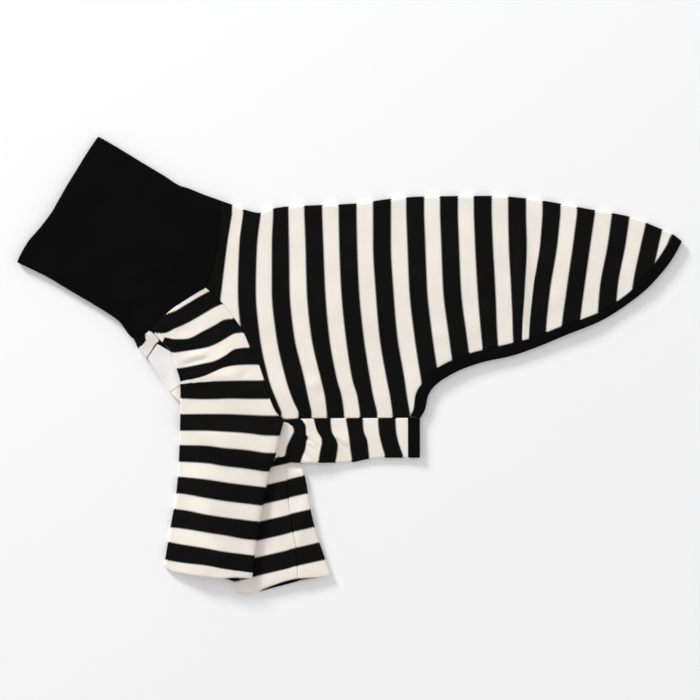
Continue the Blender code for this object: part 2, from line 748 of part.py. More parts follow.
def build_label():
    def over_chest(place):
        return chest_over(place) + LABEL_LIFT

    rows = []
    for row in LABEL_SECTIONS:
        outer = Vector((row.outer_x, row.outer_y))
        inner = Vector((row.inner_x, row.inner_y))
        rows.append(layer(arc_between(outer, inner, 0.0), 0.0, 1.0, 3, over_chest))
    cloth("label", rows, WOVEN_WHITE, LABEL_WALL)


def main():
    for old in list(bpy.data.objects):
        bpy.data.objects.remove(old)
    place_centre()
    build_collar()
    build_back_panel()
    build_chest_panel()
    build_near_sleeve()
    build_far_sleeve()
    build_hem_binding()
    build_belly_binding()
    build_label()


main()
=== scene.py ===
"""A sighthound's knitted shirt, laid flat on its far side: cloth, bands, label and studio.

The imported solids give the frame, and each piece here stands for one of them. Plans and heights
are in millimetres, as the shirt was drawn, and `Cloth` brings them to metres round the
outline's middle. A piece of cloth starts as a grid of points on its middle surface: rows run
along the knit's courses, from one cut edge, round the fold, to the other cut edge. Each grid
also carries the knit's own coordinates, which its colours and stitches follow.
"""

from __future__ import annotations

import logging
import math
from dataclasses import dataclass
from enum import Enum
from typing import Callable, NamedTuple, Sequence

import bmesh
import bpy
import numpy as np
from bpy.types import Material, Node, NodeSocket, Object
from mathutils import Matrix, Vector

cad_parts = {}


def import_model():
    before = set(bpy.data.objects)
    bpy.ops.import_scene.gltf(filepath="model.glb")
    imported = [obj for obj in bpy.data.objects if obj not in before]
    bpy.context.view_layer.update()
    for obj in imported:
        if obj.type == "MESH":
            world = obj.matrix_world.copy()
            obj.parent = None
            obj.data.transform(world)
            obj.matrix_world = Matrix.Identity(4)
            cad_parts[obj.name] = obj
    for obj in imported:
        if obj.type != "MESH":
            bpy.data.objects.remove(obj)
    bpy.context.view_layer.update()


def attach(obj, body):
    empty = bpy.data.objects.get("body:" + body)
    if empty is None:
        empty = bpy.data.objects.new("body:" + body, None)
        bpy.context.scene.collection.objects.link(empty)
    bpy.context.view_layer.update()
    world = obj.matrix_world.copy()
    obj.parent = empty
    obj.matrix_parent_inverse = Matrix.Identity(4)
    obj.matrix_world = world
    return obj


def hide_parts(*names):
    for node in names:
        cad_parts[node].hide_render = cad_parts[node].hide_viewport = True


LOG = logging.getLogger("dog_shirt")

Places = np.ndarray
"""Places in plan: one (x, y) a row."""
Grid = np.ndarray
"""Points of a cloth's middle surface: rows, columns and (x, y, z)."""
Route = Callable[[np.ndarray], Places]
"""A line in plan, as places for shares of its length."""
Height = Callable[[Places], np.ndarray]
"""A layer's middle height at each place."""

MM = 0.001
JERSEY_WALL = 0.9
STRIPE_PITCH = 27.2
FOLD_STEPS = 8
"""How many steps the cloth takes round a fold."""
QUARTER_TURN = math.pi / 2
NUDGE = 0.01
"""Half the way in X over which an outline's slope is taken."""
SHORT_WAY = 0.02
"""The share of a route over which its direction is taken."""
SEAM_OVERLAP = 0.1
SEAM_REACH = 2.2
"""How far beside a crossing seam a row's steps are finer."""
STRIPE_MARGIN = 0.02
"""How far inside its first or last stripe a cloth's edge counts as lying, in stripes."""
LEAST_WIDTH = 1e-6
TINY = 1e-9
WELD = 1e-6
"""How near two points lie, in metres, to be welded."""
SMOOTH_BELOW = 55.0
"""The angle in degrees below which two faces are shaded as one."""


class Point(NamedTuple):
    """A place in plan, in millimetres."""

    x: float
    y: float


Trace = tuple[Point, ...]
"""An outline or seam in plan."""
OUTLINE_MIDDLE = Point(0.4, 0.9)


def table(kind: type, *rows: tuple) -> tuple:
    """A table's rows, each as a value of its kind."""
    return tuple(kind(*row) for row in rows)


def traced(*places: tuple[float, float]) -> Trace:
    """An outline or seam through some places."""
    return table(Point, *places)


# ---- Curves in plan ----

class Glide:
    """A smooth curve through values at rising knots, which never swings past a value."""

    def __init__(self, knots: Sequence[float], values: Sequence[float]) -> None:
        """Work out the curve's slope at each knot.

        Args:
            knots: Rising places along the curve.
            values: Its value at each of them.
        """
        self.knots = np.asarray(knots, float)
        self.values = np.asarray(values, float)
        rises = np.diff(self.values) / np.diff(self.knots)
        before, after = rises[:-1], rises[1:]
        turning = before * after <= 0
        total = np.where(turning, 1.0, before + after)
        inner = np.where(turning, 0.0, 2 * before * after / total)
        self.slopes = np.concatenate([rises[:1], inner, rises[-1:]])

    def __call__(self, at: np.ndarray | float) -> np.ndarray:
        """The curve's values at some places along it.

        Args:
            at: Places along the knots. Past either end the curve keeps its last value.

        Returns:
            A value for each place.
        """
        at = np.clip(np.asarray(at, float), self.knots[0], self.knots[-1])
        last = len(self.knots) - 1
        i = np.clip(np.searchsorted(self.knots, at, side="right"), 1, last) - 1
        run = self.knots[i + 1] - self.knots[i]
        t = (at - self.knots[i]) / run
        return (
            (1 + 2 * t) * (1 - t) ** 2 * self.values[i]
            + t * (1 - t) ** 2 * run * self.slopes[i]
            + t * t * (3 - 2 * t) * self.values[i + 1]
            + t * t * (t - 1) * run * self.slopes[i + 1]
        )


def along_x(points: Sequence[Point]) -> Glide:
    """An outline that runs along X, as y for each x."""
    ordered = sorted(points)
    return Glide([p.x for p in ordered], [p.y for p in ordered])


def along_y(points: Sequence[Point]) -> Glide:
    """An outline that runs along Y, as x for each y."""
    ordered = sorted(points, key=lambda p: p.y)
    return Glide([p.y for p in ordered], [p.x for p in ordered])


def on_x(curve: Glide, x: float, inset: float = 0.0) -> np.ndarray:
    """A curve's point at x, moved to the curve's left as it runs along +X."""
    rise = float(curve(x + NUDGE) - curve(x - NUDGE)) / (2 * NUDGE)
    length = math.hypot(1.0, rise)
    return np.array((x - rise / length * inset, float(curve(x)) + inset / length))


def on_y(curve: Glide, y: float) -> np.ndarray:
    """A curve's point at y."""
    return np.array((float(curve(y)), y))


def arc_between(start: np.ndarray, end: np.ndarray, bow: float) -> Route:
    """A shallow arc in plan.

    Args:
        start: Its first end.
        end: Its last end.
        bow: How far it bulges to the left of its way.

    Returns:
        Its route.
    """
    way = end - start
    left = np.array((-way[1], way[0])) / np.hypot(*way)

    def route(s: np.ndarray) -> Places:
        """The arc's places at shares of its length."""
        s = np.atleast_1d(np.asarray(s, float))[:, None]
        return start + way * s + left * (4 * bow * s * (1 - s))

    return route


def ease(t: np.ndarray | float) -> np.ndarray:
    """0 below 0, 1 above 1, and smooth between."""
    t = np.clip(t, 0.0, 1.0)
    return t * t * (3 - 2 * t)


def way_out(outline: Sequence[Point], places: Places) -> Places:
    """The way to each place from an outline.

    Args:
        outline: A closed outline.
        places: Places in plan.

    Returns:
        The way from the outline's nearest point, or nothing for a place inside it.
    """
    starts = np.array(outline, float)
    ends = np.roll(starts, -1, axis=0)
    sides = ends - starts
    offsets = places[:, None] - starts
    shares = np.clip((offsets * sides).sum(2) / (sides**2).sum(1), 0.0, 1.0)
    away = offsets - shares[..., None] * sides
    nearest = np.hypot(away[..., 0], away[..., 1]).argmin(1)
    best = away[np.arange(len(places)), nearest]
    y = places[:, 1:]
    level = np.where(sides[:, 1] == 0, 1.0, sides[:, 1])
    crossing = starts[:, 0] + (y - starts[:, 1]) * sides[:, 0] / level
    crossed = ((starts[:, 1] > y) != (ends[:, 1] > y)) & (places[:, :1] < crossing)
    best[crossed.sum(1) % 2 == 1] = 0.0
    return best


@dataclass(frozen=True)
class Outlines:
    """The laid-out shirt's outlines and seams, seen from above."""

    spine: Trace = traced(
        (-104.5, 133.2), (-91.5, 128.6), (-83, 125.2), (-72, 123), (-61.5, 126.3), (-49, 128),
        (5, 130.4), (31.5, 134), (59, 136), (114, 136.5), (141, 134.5), (196.5, 125), (223.5, 120),
        (250.5, 109.5), (259, 106.4), (265.5, 100.5),
    )
    raglan: Trace = traced(
        (-115.5, 63.5), (-101.5, 50.5), (-92.5, 39), (-84.5, 27), (-79, 14.5), (-72.5, 2),
        (-68, -11), (-63.5, -26), (-57.5, -38), (-51, -42),
    )
    side_seam: Trace = traced((-39.5, -41.5), (47.5, -41))
    hem: Trace = traced(
        (49, -39), (51.5, -34.5), (53, -23), (58, -14), (71, -1), (95.5, 10), (119.5, 16),
        (144, 22), (171, 32.5), (198.5, 42.5), (213, 51), (227, 62), (243, 80.5), (254, 97),
        (258.5, 106.3),
    )
    band_edge: Trace = traced(
        (56.5, -40.5), (60, -34), (62.5, -23), (67.5, -15.5), (76, -9), (90.5, -1.5), (109, 4.5),
        (128, 8.5), (147.5, 15), (173, 25.5), (199, 36), (211.5, 43), (224.5, 52), (237, 62),
        (250, 76), (256.5, 84.5), (263, 95.5), (265.5, 100.5),
    )
    breast_fold: Trace = traced(
        (-172.5, 22.6), (-169, 14.5), (-162, 6.2), (-153, -6), (-143.5, -20.5),
    )
    hidden_fold: Trace = traced(
        (-135, -29), (-126, -41.6), (-116.5, -53), (-87.5, -68.5), (-59.5, -75),
    )
    belly_fold: Trace = traced(
        (-39.5, -77), (-23.5, -77), (2, -76.5), (15, -74), (28.5, -73), (57, -73),
    )
    front_seam_under_sleeve: Trace = traced(
        (-138, 9), (-127.5, 2.5), (-106, -11), (-79.5, -27.5), (-51, -42.6),
    )
    front_seam_in_sight: Trace = traced((-159.5, 29), (-156.5, 26.5), (-151, 21), (-142, 11.5))
    shoulder_tip: Trace = traced((-138, -2), (-135.2, -12.5))
    near_lead_below: Trace = traced(
        (-135, -25), (-135.5, -50), (-136.5, -75.5), (-138.5, -101), (-143, -127.5), (-148, -157.5),
    )
    near_right: Trace = traced(
        (-52.5, -43.5), (-56, -56.5), (-59, -70.5), (-64, -84), (-69, -109.5), (-74, -138),
        (-77, -163), (-78, -170),
    )
    far_lead_below: Trace = traced(
        (-131.5, -38), (-122, -71), (-112.5, -107), (-102, -143), (-91, -180),
    )
    far_right: Trace = traced(
        (-51.5, -43.5), (-47, -59), (-39, -76.5), (-35.3, -89.5), (-30.8, -116), (-28, -128),
        (-23.8, -141.5), (-14.6, -167.2),
    )
    far_underarm: Trace = traced(
        (-52, -60), (-50.8, -77.8), (-48.6, -106), (-44.7, -134), (-42.8, -144.4), (-41, -169.5),
    )
    collar_nape_side: Trace = traced(
        (-200, 183.5), (-188.5, 177), (-174, 168.2), (-161.2, 160.4), (-148.4, 152.7),
        (-135.5, 144.6), (-129.5, 142.8), (-118, 138.1), (-104.5, 133.2),
    )
    collar_throat_side: Trace = traced(
        (-265, 82.9), (-241, 71.2), (-227, 62.7), (-195, 43.7), (-184, 35.9), (-175, 24),
        (-172.5, 22.6),
    )
    chest_front: Trace = traced((-145, 14))
    chest_rear: Trace = traced((-47, -43))
    armpit: Trace = traced((-51, -42))
    neck_back_bow: float = 3.5
    neck_sleeve_bow: float = -2.6

    @property
    def shoulder_lead(self) -> Trace:
        """The leading edge that both sleeves share, down from the neck."""
        return self.front_seam_in_sight + self.shoulder_tip

    @property
    def near_lead(self) -> Trace:
        """The near sleeve's leading fold, from the neck to its cuff."""
        return self.shoulder_lead + self.near_lead_below

    @property
    def far_lead(self) -> Trace:
        """The far sleeve's leading fold, from the neck to its cuff."""
        return self.shoulder_lead + self.far_lead_below

    @property
    def chest_fold(self) -> Trace:
        """The chest panel's middle fold, from the throat to its rear edge."""
        return self.breast_fold + self.hidden_fold + self.belly_fold

    @property
    def back_edge(self) -> Trace:
        """The back panel's lower edge: raglan seam, side seam and hem."""
        return self.raglan + self.side_seam + self.hem

    @property
    def chest_edge(self) -> Trace:
        """The chest panel's upper edge: just outside the front seam, then the side seam."""
        beside = tuple(Point(p.x - 0.2, p.y - 0.2) for p in self.front_seam_in_sight)
        return beside + self.front_seam_under_sleeve + self.side_seam

    @property
    def neck_spans(self) -> tuple[tuple[Point, Point, float], ...]:
        """The neck seam's three arcs from nape to throat, each with its bow."""
        nape, back_joint = self.spine[0], self.raglan[0]
        front_joint, throat = self.front_seam_in_sight[0], self.breast_fold[0]
        return (
            (back_joint, nape, -self.neck_back_bow),
            (back_joint, front_joint, self.neck_sleeve_bow),
            (front_joint, throat, 0.0),
        )


CUT = Outlines()


# ---- Heights of the layers ----

class Puff(NamedTuple):
    """A soft rise where air or slack holds the upper cloth up."""

    x: float
    y: float
    reach_x: float
    reach_y: float
    height: float


class Crease(NamedTuple):
    """A soft ridge along a line, or a trough where its height is negative."""

    x0: float
    y0: float
    x1: float
    y1: float
    reach: float
    height: float


class Swell(NamedTuple):
    """A long faint wave of slack cloth: the way it runs, its length and its height."""

    heading: float
    length: float
    height: float
    phase: float


@dataclass(frozen=True)
class Stack:
    """The heights of the shirt's layers over the surface that it lies on."""

    solid_wall: float = 1.0
    packed: float = 1.35
    loose: float = 2.1
    collar_wall: float = 2.2
    collar_loose: float = 2.5
    neck_rise: float = 1.2
    margin: float = 1.2
    run: float = 13.0
    shoulder_run: float = 30.0
    uphill: Point = Point(0.57, 0.82)
    side_seam_run: float = 36.0
    neck_run: float = 16.0
    neck_steps: int = 8
    cover_margin: float = 3.4
    cover_run: float = 4.0
    armpit_run: float = 14.0
    right_full: float = 0.75
    near_full: float = 3.4
    near_runs: tuple[float, float] = (34, 6)
    far_full: float = 0.7
    far_runs: tuple[float, float] = (14, 8)
    seam_depth: float = 1.0
    seam_reach: float = 0.55
    puffs: tuple[Puff, ...] = table(Puff,
        (-235, 120, 20, 26, 0.9), (-160, 95, 30, 26, 1.1), (-20, 45, 38, 42, 1.5),
        (75, 70, 34, 34, 1.2), (172, 84, 30, 24, 1.3), (-100, -5, 20, 20, 0.7),
        (-105, -105, 20, 30, 1.1), (-38, -125, 9, 22, 0.9), (0, -60, 22, 9, 0.8),
    )
    creases: tuple[Crease, ...] = table(Crease,
        (139, 118, 137.5, 26, 5, 1.6), (-134, -13, -82, -4, 4.5, 0.9), (-190, 50, -146, 62, 7, 0.9),
        (-34, -58, -14, -70, 4, 0.9), (-45, -18, -12, -10, 5, 0.7), (-57, -86, -57, -150, 5, 0.7),
        (-112, 30, -80, -6, 6, 0.7),
    )
    fine_creases: tuple[Crease, ...] = table(Crease,
        (-28, -52, -11, -63, 2.2, 0.6), (-36.6, -55.2, -21, -67, 1.4, -1.4),
        (-35, -61.6, -22.8, -69.6, 1.3, -0.8), (-39.4, -66.8, -25.6, -78.6, 1.3, -1),
        (-12.4, -56.4, 0, -68, 1.5, -1.2), (-135, 1, -110, 7.5, 1.9, -0.7),
        (-136.5, 5.2, -110, 13, 3, 0.7), (-83.6, -3.5, -85.4, -10, 1.6, -0.5),
        (-139, 29, -126, 27.5, 3, -0.5), (-13.5, 38, -8, 30, 2.5, -0.5),
        (41, 26.5, 51, 14.5, 2.5, -0.5), (71.5, 25, 79.8, 8, 3, -0.5),
        (-62, -138, -62, -155, 2, -0.6), (-6, -56, 10, -68, 3, 0.5), (20, -48, 36, -66, 3.5, 0.35),
        (-44, -22, -18, -30, 3.5, 0.5), (-36, -12, 4, -20, 4.5, 0.45), (2, -14, 38, -30, 5, 0.35),
        (-96, 52, -58, 26, 6, 0.5), (-78, 96, -52, 70, 7, 0.4), (60, 20, 104, 40, 6, 0.5),
        (86, 14, 120, 52, 5, 0.4), (188, 68, 196, 84, 5, -0.6), (150, 40, 176, 66, 5, 0.5),
        (208, 60, 232, 96, 6, 0.4), (-128, 12, -96, 2, 3.5, 0.5), (-132, -20, -104, -17, 2.5, -0.4),
        (-124, 28, -100, 22, 4, 0.4), (-128, -46, -88, -56, 5, 0.35),
        (-110, -78, -74, -84, 4.5, 0.4), (-134, -96, -104, -112, 5.5, 0.35),
        (-118, -128, -84, -140, 5, 0.4), (-57, -100, -52, -120, 2.5, -0.5),
        (-36, -100, -40, -150, 3.5, 0.4), (-148, 60, -132, 108, 8, 0.5),
        (-214, 74, -176, 120, 9, 0.5), (-226, 132, -180, 152, 8, 0.4), (-184, 66, -150, 84, 6, 0.5),
    )
    swells: tuple[Swell, ...] = table(Swell,
        (0.35, 61, 0.2, 0.4), (1.25, 43, 0.16, 2.1), (2.3, 29, 0.1, 4), (2.95, 83, 0.18, 1.2),
    )

    def lifted_by(self, outline: Sequence[Point], places: Places) -> np.ndarray:
        """1 over an outline, easing to 0 around it: slowly up the shoulder, soon elsewhere.

        Args:
            outline: A closed outline.
            places: Places in plan.

        Returns:
            A share for each place.
        """
        away = way_out(outline, places)
        length = np.hypot(away[:, 0], away[:, 1])
        climb = (away @ np.array(self.uphill)) / np.maximum(length, LEAST_WIDTH)
        run = self.run + self.shoulder_run * np.maximum(0.0, climb)
        return np.where(length <= self.margin, 1.0, ease(1 - (length - self.margin) / run))

    def covered_by(self, outline: Sequence[Point], places: Places) -> np.ndarray:
        """1 under an outline, easing to 0 just outside it."""
        away = way_out(outline, places)
        length = np.hypot(away[:, 0], away[:, 1])
        return ease(1 - (length - self.cover_margin) / self.cover_run)

    def fullness(
        self, lead: Sequence[Point], right: Sequence[Point], runs: tuple[float, float],
        places: Places,
    ) -> np.ndarray:
        """How full a sleeve's tube lies: 1 in its middle, less at its folds and the armpit.

        Args:
            lead: Its leading fold.
            right: Its fold on the tail side.
            runs: How far the cloth climbs from each of those folds.
            places: Places in plan.

        Returns:
            A share for each place.
        """
        x, y = places[:, 0], places[:, 1]
        from_lead = ease((x - along_y(lead)(y)) / runs[0])
        rise = ease((along_y(right)(y) - x) / runs[1])
        from_right = self.right_full + (1 - self.right_full) * rise
        below_armpit = ease((CUT.side_seam[0].y - y) / self.armpit_run)
        return from_lead * from_right * below_armpit

    def far_sleeve_lift(self, places: Places) -> np.ndarray:
        """1 where the far sleeve lies beneath."""
        stack = CUT.far_lead + CUT.far_right[::-1] + CUT.front_seam_under_sleeve[::-1]
        return self.lifted_by(stack, places)

    def chest_lift(self, places: Places) -> np.ndarray:
        """1 where the chest panel lies beneath the near sleeve."""
        under = (
            CUT.chest_front + CUT.near_lead[4:7] + CUT.hidden_fold + CUT.belly_fold[:1]
            + CUT.chest_rear + CUT.front_seam_under_sleeve[::-1]
        )
        return self.lifted_by(under, places)

    def near_sleeve_cover(self, places: Places) -> np.ndarray:
        """1 under the near sleeve."""
        cover = CUT.near_lead + CUT.near_right[::-1] + CUT.raglan[::-1]
        return self.covered_by(cover, places)

    def belly_cover(self, places: Places) -> np.ndarray:
        """1 under the belly."""
        cover = CUT.hidden_fold[3:] + CUT.belly_fold + CUT.side_seam[::-1] + CUT.armpit
        return self.covered_by(cover, places)

    def neck_lift(self, places: Places) -> np.ndarray:
        """The rise towards the collar's thick end."""
        shares = np.linspace(0.0, 1.0, self.neck_steps + 1)[:, None]
        seam = np.concatenate([
            np.array(a) + (np.array(b) - np.array(a)) * shares for a, b, _ in CUT.neck_spans
        ])
        away = np.linalg.norm(places[:, None] - seam, axis=2).min(1)
        return self.neck_rise * ease(1 - away / self.neck_run)

    def relief(self, places: Places) -> np.ndarray:
        """How far puffs, creases and slack hold the upper cloth above its plain height.

        Args:
            places: Places in plan.

        Returns:
            A rise for each place.
        """
        rise = np.zeros(len(places))
        for p in self.puffs:
            across = ((places[:, 0] - p.x) / p.reach_x) ** 2
            across += ((places[:, 1] - p.y) / p.reach_y) ** 2
            rise += p.height * np.exp(-across)
        for c in self.creases + self.fine_creases:
            start, line = np.array((c.x0, c.y0)), np.array((c.x1 - c.x0, c.y1 - c.y0))
            share = (places - start) @ line / (line @ line)
            off = places - start - np.clip(share, 0.0, 1.0)[:, None] * line
            across = (off**2).sum(1) / c.reach**2
            rise += c.height * np.exp(-across) * ease(2 - np.abs(4 * share - 2))
        for s in self.swells:
            way = places @ np.array((math.cos(s.heading), math.sin(s.heading)))
            rise += s.height * np.sin(2 * math.pi * way / s.length + s.phase)
        return rise

    def on_floor(self, places: Places) -> np.ndarray:
        """The lowest layer of jersey."""
        return np.full(len(places), JERSEY_WALL / 2)

    def collar_on_floor(self, places: Places) -> np.ndarray:
        """The collar's lower wall."""
        return np.full(len(places), self.collar_wall / 2)

    def collar_over(self, places: Places) -> np.ndarray:
        """The collar's upper wall."""
        lift = self.collar_loose + self.packed * self.far_sleeve_lift(places)
        return self.collar_wall / 2 + lift + self.relief(places)

    @property
    def chest_over_rise(self) -> float:
        """The rise of the chest panel's upper half over the far sleeve."""
        return 3 * self.packed - self.loose

    @property
    def sleeve_over_rise(self) -> float:
        """The rise of the near sleeve's upper wall for each pair of walls under it."""
        return (5 * self.packed - self.loose) / 2

    def back_over(self, places: Places) -> np.ndarray:
        """The back panel's near half."""
        far = self.far_sleeve_lift(places)
        from_seam = ease((places[:, 1] - CUT.side_seam[0].y) / self.side_seam_run)
        pairs = far + self.chest_lift(places)
        shoulder = self.sleeve_over_rise * pairs - self.chest_over_rise * far
        plain = self.solid_wall / 2 + self.loose + self.chest_over_rise * far
        return plain + from_seam * shoulder + self.neck_lift(places) + self.relief(places)

    def chest_far(self, places: Places) -> np.ndarray:
        """The chest panel's far half."""
        return self.solid_wall / 2 + 2 * self.packed * self.far_sleeve_lift(places)

    def chest_over(self, places: Places) -> np.ndarray:
        """The chest panel's near half."""
        bare = 1 - self.near_sleeve_cover(places)
        plain = self.solid_wall / 2 + self.loose
        plain = plain + self.chest_over_rise * self.far_sleeve_lift(places)
        return plain + self.neck_lift(places) + bare * self.relief(places)

    def sleeve_under(self, places: Places) -> np.ndarray:
        """The near sleeve's lower wall."""
        pairs = self.far_sleeve_lift(places) + self.chest_lift(places)
        return self.solid_wall / 2 + 2 * self.packed * pairs

    def sleeve_over(self, places: Places) -> np.ndarray:
        """The near sleeve's upper wall."""
        pairs = self.far_sleeve_lift(places) + self.chest_lift(places)
        plain = self.solid_wall / 2 + self.loose + self.sleeve_over_rise * pairs
        full = self.fullness(CUT.near_lead, CUT.near_right, self.near_runs, places)
        return plain + self.near_full * full + self.neck_lift(places) + self.relief(places)

    def far_sleeve_inner(self, places: Places) -> np.ndarray:
        """The far sleeve's upper wall."""
        bare = (1 - self.near_sleeve_cover(places)) * (1 - self.belly_cover(places))
        full = self.fullness(CUT.far_lead, CUT.far_right, self.far_runs, places)
        off_seam = places[:, 0] - along_y(CUT.far_underarm)(places[:, 1])
        groove = self.seam_depth * np.exp(-((off_seam / self.seam_reach) ** 2))
        slack = self.loose - self.packed + self.far_full * full + self.relief(places) - groove
        return self.solid_wall / 2 + self.packed + bare * slack


LAY = Stack()


# ---- Rows of cloth ----

def spread_rows(rows: Sequence[NamedTuple], finer: int) -> list[NamedTuple]:
    """Sections and the steps between them, each of their values on its own smooth curve.

    Args:
        rows: Sections. Where they have `steps`, it says how many steps lead to the next one.
        finer: How many times finer than that the cloth is.

    Returns:
        All the rows.
    """
    kind = type(rows[0])
    curves = [Glide(np.arange(len(rows)), column) for column in zip(*rows)]
    counts = [getattr(row, "steps", 1) * finer for row in rows[:-1]]
    places = [i + k / count for i, count in enumerate(counts) for k in range(count)]
    at = np.array([*places, len(rows) - 1])
    return [kind(*values) for values in zip(*(curve(at).tolist() for curve in curves))]


def at_height(places: Places, heights: np.ndarray) -> np.ndarray:
    """Places in plan, each at its height."""
    return np.column_stack([places, heights])


def fold_middle(route: Route, upper: Height, lower: Height, wall: float) -> float:
    """Where a fold begins, so that the cloth ends at its route's end.

    Args:
        route: The cloth's route towards the fold.
        upper: One layer's height.
        lower: The other layer's height.
        wall: The cloth's thickness.

    Returns:
        The share of the route.
    """
    end, short = route(1.0), route(1 - SHORT_WAY)
    length = np.linalg.norm(end - short) / SHORT_WAY
    reach = abs(float(upper(short)[0] - lower(short)[0])) / 2 + wall / 2
    return 1 - reach / length


def half_turn(route: Route, share: float, upper: Height, lower: Height) -> np.ndarray:
    """The cloth's points round a fold, between its two layers.

    Args:
        route: The cloth's route towards the fold.
        share: Where the fold begins on it.
        upper: The height of the layer that the fold starts from.
        lower: The height of the layer that it leads to.

    Returns:
        The points.
    """
    middle = route(share)
    outward = (route(min(share + SHORT_WAY, 1.0)) - route(share - SHORT_WAY))[0]
    outward /= np.linalg.norm(outward)
    top, bottom = float(upper(middle)[0]), float(lower(middle)[0])
    radius = (top - bottom) / 2
    turns = math.pi * np.arange(1, FOLD_STEPS) / FOLD_STEPS
    places = middle + outward * abs(radius) * np.sin(turns)[:, None]
    return at_height(places, (top + bottom) / 2 + radius * np.cos(turns))


def layer(route: Route, first: float, last: float, count: int, height: Height) -> np.ndarray:
    """Points along a route between two shares of it, both ends included."""
    places = route(np.linspace(first, last, count + 1))
    return at_height(places, height(places))


def folded_row(
    route: Route, upper: Height, lower: Height, counts: tuple[int, int], wall: float
) -> np.ndarray:
    """One row of a piece that is folded in two at the route's end.

    Args:
        route: The row's line, from the cut edge to the fold.
        upper: The first half's height.
        lower: The second half's height.
        counts: How many steps each half has.
        wall: The cloth's thickness.

    Returns:
        The row's points.
    """
    fold = fold_middle(route, upper, lower, wall)
    return np.concatenate([
        layer(route, 0.0, fold, counts[0], upper),
        half_turn(route, fold, upper, lower),
        layer(route, fold, 0.0, counts[1], lower),
    ])


def crowded(first: float, last: float, count: int, middle: float, reach: float) -> np.ndarray:
    """Shares from first to last, a third of them within reach of the middle."""
    low, high = sorted((middle - reach, middle + reach))
    ends = (low, high) if first < last else (high, low)
    return np.interp(np.linspace(0, 1, count + 1), (0, 1 / 3, 2 / 3, 1), (first, *ends, last))


def tube_row(
    route: Route, upper: Height, lower: Height, counts: tuple[int, int], wall: float,
    seam: Point | None = None,
) -> np.ndarray:
    """One row of a flattened tube: its upper wall, a fold, its lower wall and a fold.

    Args:
        route: The line across the tube.
        upper: The first wall's height.
        lower: The second wall's height.
        counts: How many steps each wall has.
        wall: The cloth's thickness.
        seam: Where a seam crosses the second wall, which needs finer steps beside it.

    Returns:
        The row's points.
    """

    def backwards(s: np.ndarray) -> Places:
        """The route from its other end."""
        return route(1 - np.asarray(s))

    fold = fold_middle(route, upper, lower, wall)
    start = 1 - fold_middle(backwards, upper, lower, wall)
    returning = np.linspace(fold, start, counts[1] + 1)
    if seam is not None:
        ends = route((0.0, 1.0))
        way = ends[1] - ends[0]
        length = np.linalg.norm(way)
        share = float((np.array(seam) - ends[0]) @ way / length**2)
        returning = crowded(fold, start, counts[1], share, SEAM_REACH / length)
    places = route(returning)
    return np.concatenate([
        layer(route, start, fold, counts[0], upper),
        half_turn(route, fold, upper, lower),
        at_height(places, lower(places)),
        half_turn(backwards, 1 - start, lower, upper),
    ])


def unit(vectors: np.ndarray) -> np.ndarray:
    """Vectors brought to length 1."""
    return vectors / np.maximum(np.linalg.norm(vectors, axis=-1, keepdims=True), TINY)


def without(vectors: np.ndarray, ways: np.ndarray) -> np.ndarray:
    """Vectors less what they have along some unit vectors."""
    return vectors - (vectors * ways).sum(-1, keepdims=True) * ways


def outward_normals(grid: Grid, closed: bool) -> Grid:
    """A grid's normals, which point up where its first columns lie on top.

    Args:
        grid: A grid whose first column lies in an upper layer.
        closed: Whether its last column joins its first.

    Returns:
        A unit vector for each point.
    """
    along = np.gradient(grid, axis=0)
    if closed:
        across = np.roll(grid, -1, axis=1) - np.roll(grid, 1, axis=1)
    else:
        across = np.gradient(grid, axis=1)
    normals = unit(np.cross(along, across))
    quarter = max(1, grid.shape[1] // 4)
    return normals * (1.0 if normals[:, :quarter, 2].sum() > 0 else -1.0)


def rolled_columns(
    grid: Grid, normals: Grid, radius: float, turn: float, tail: float, steps: int = 4,
    square: bool = True,
) -> Grid:
    """New columns before a grid's first one, which roll its edge towards the inside.

    Args:
        grid: The cloth's middle surface.
        normals: Its outward normals.
        radius: The roll's radius.
        turn: How far it rolls, in radians.
        tail: The length of cloth past the roll.
        steps: The roll's steps.
        square: Whether it rolls square to the edge, instead of along the rows.

    Returns:
        The new columns, the farthest first.
    """
    edge, up = grid[:, 0], normals[:, 0]
    out = without(edge - grid[:, 1], up)
    if square:
        out = without(out, unit(np.gradient(edge, axis=0)))
    out = unit(out)
    turns = np.linspace(0.0, turn, steps + 1)[1:]
    rolled = [edge + out * radius * math.sin(a) - up * radius * (1 - math.cos(a)) for a in turns]
    if tail > 0:
        rolled.append(rolled[-1] + (out * math.cos(turn) - up * math.sin(turn)) * tail)
    return np.stack(rolled[::-1], axis=1)


def swapped(grid: Grid) -> Grid:
    """A grid with its rows as columns."""
    return grid.transpose(1, 0, 2)


def turned_hem(grid: Grid, normals: Grid, radius: float, rows: int) -> Grid:
    """New rows past a grid's last one: a fold to the inside and a hem that lies along it.

    Args:
        grid: The cloth's middle surface.
        normals: Its outward normals.
        radius: The fold's radius.
        rows: How many of the grid's rows the hem runs back over.

    Returns:
        The new rows.
    """
    flipped, up = swapped(grid[::-1]), swapped(normals[::-1])
    fold = rolled_columns(flipped, up, radius, math.pi, 0.0, 6, square=False)[:, ::-1]
    back = flipped[:, 1:rows] - up[:, 1:rows] * 2 * radius
    return swapped(np.concatenate([fold, back], axis=1))


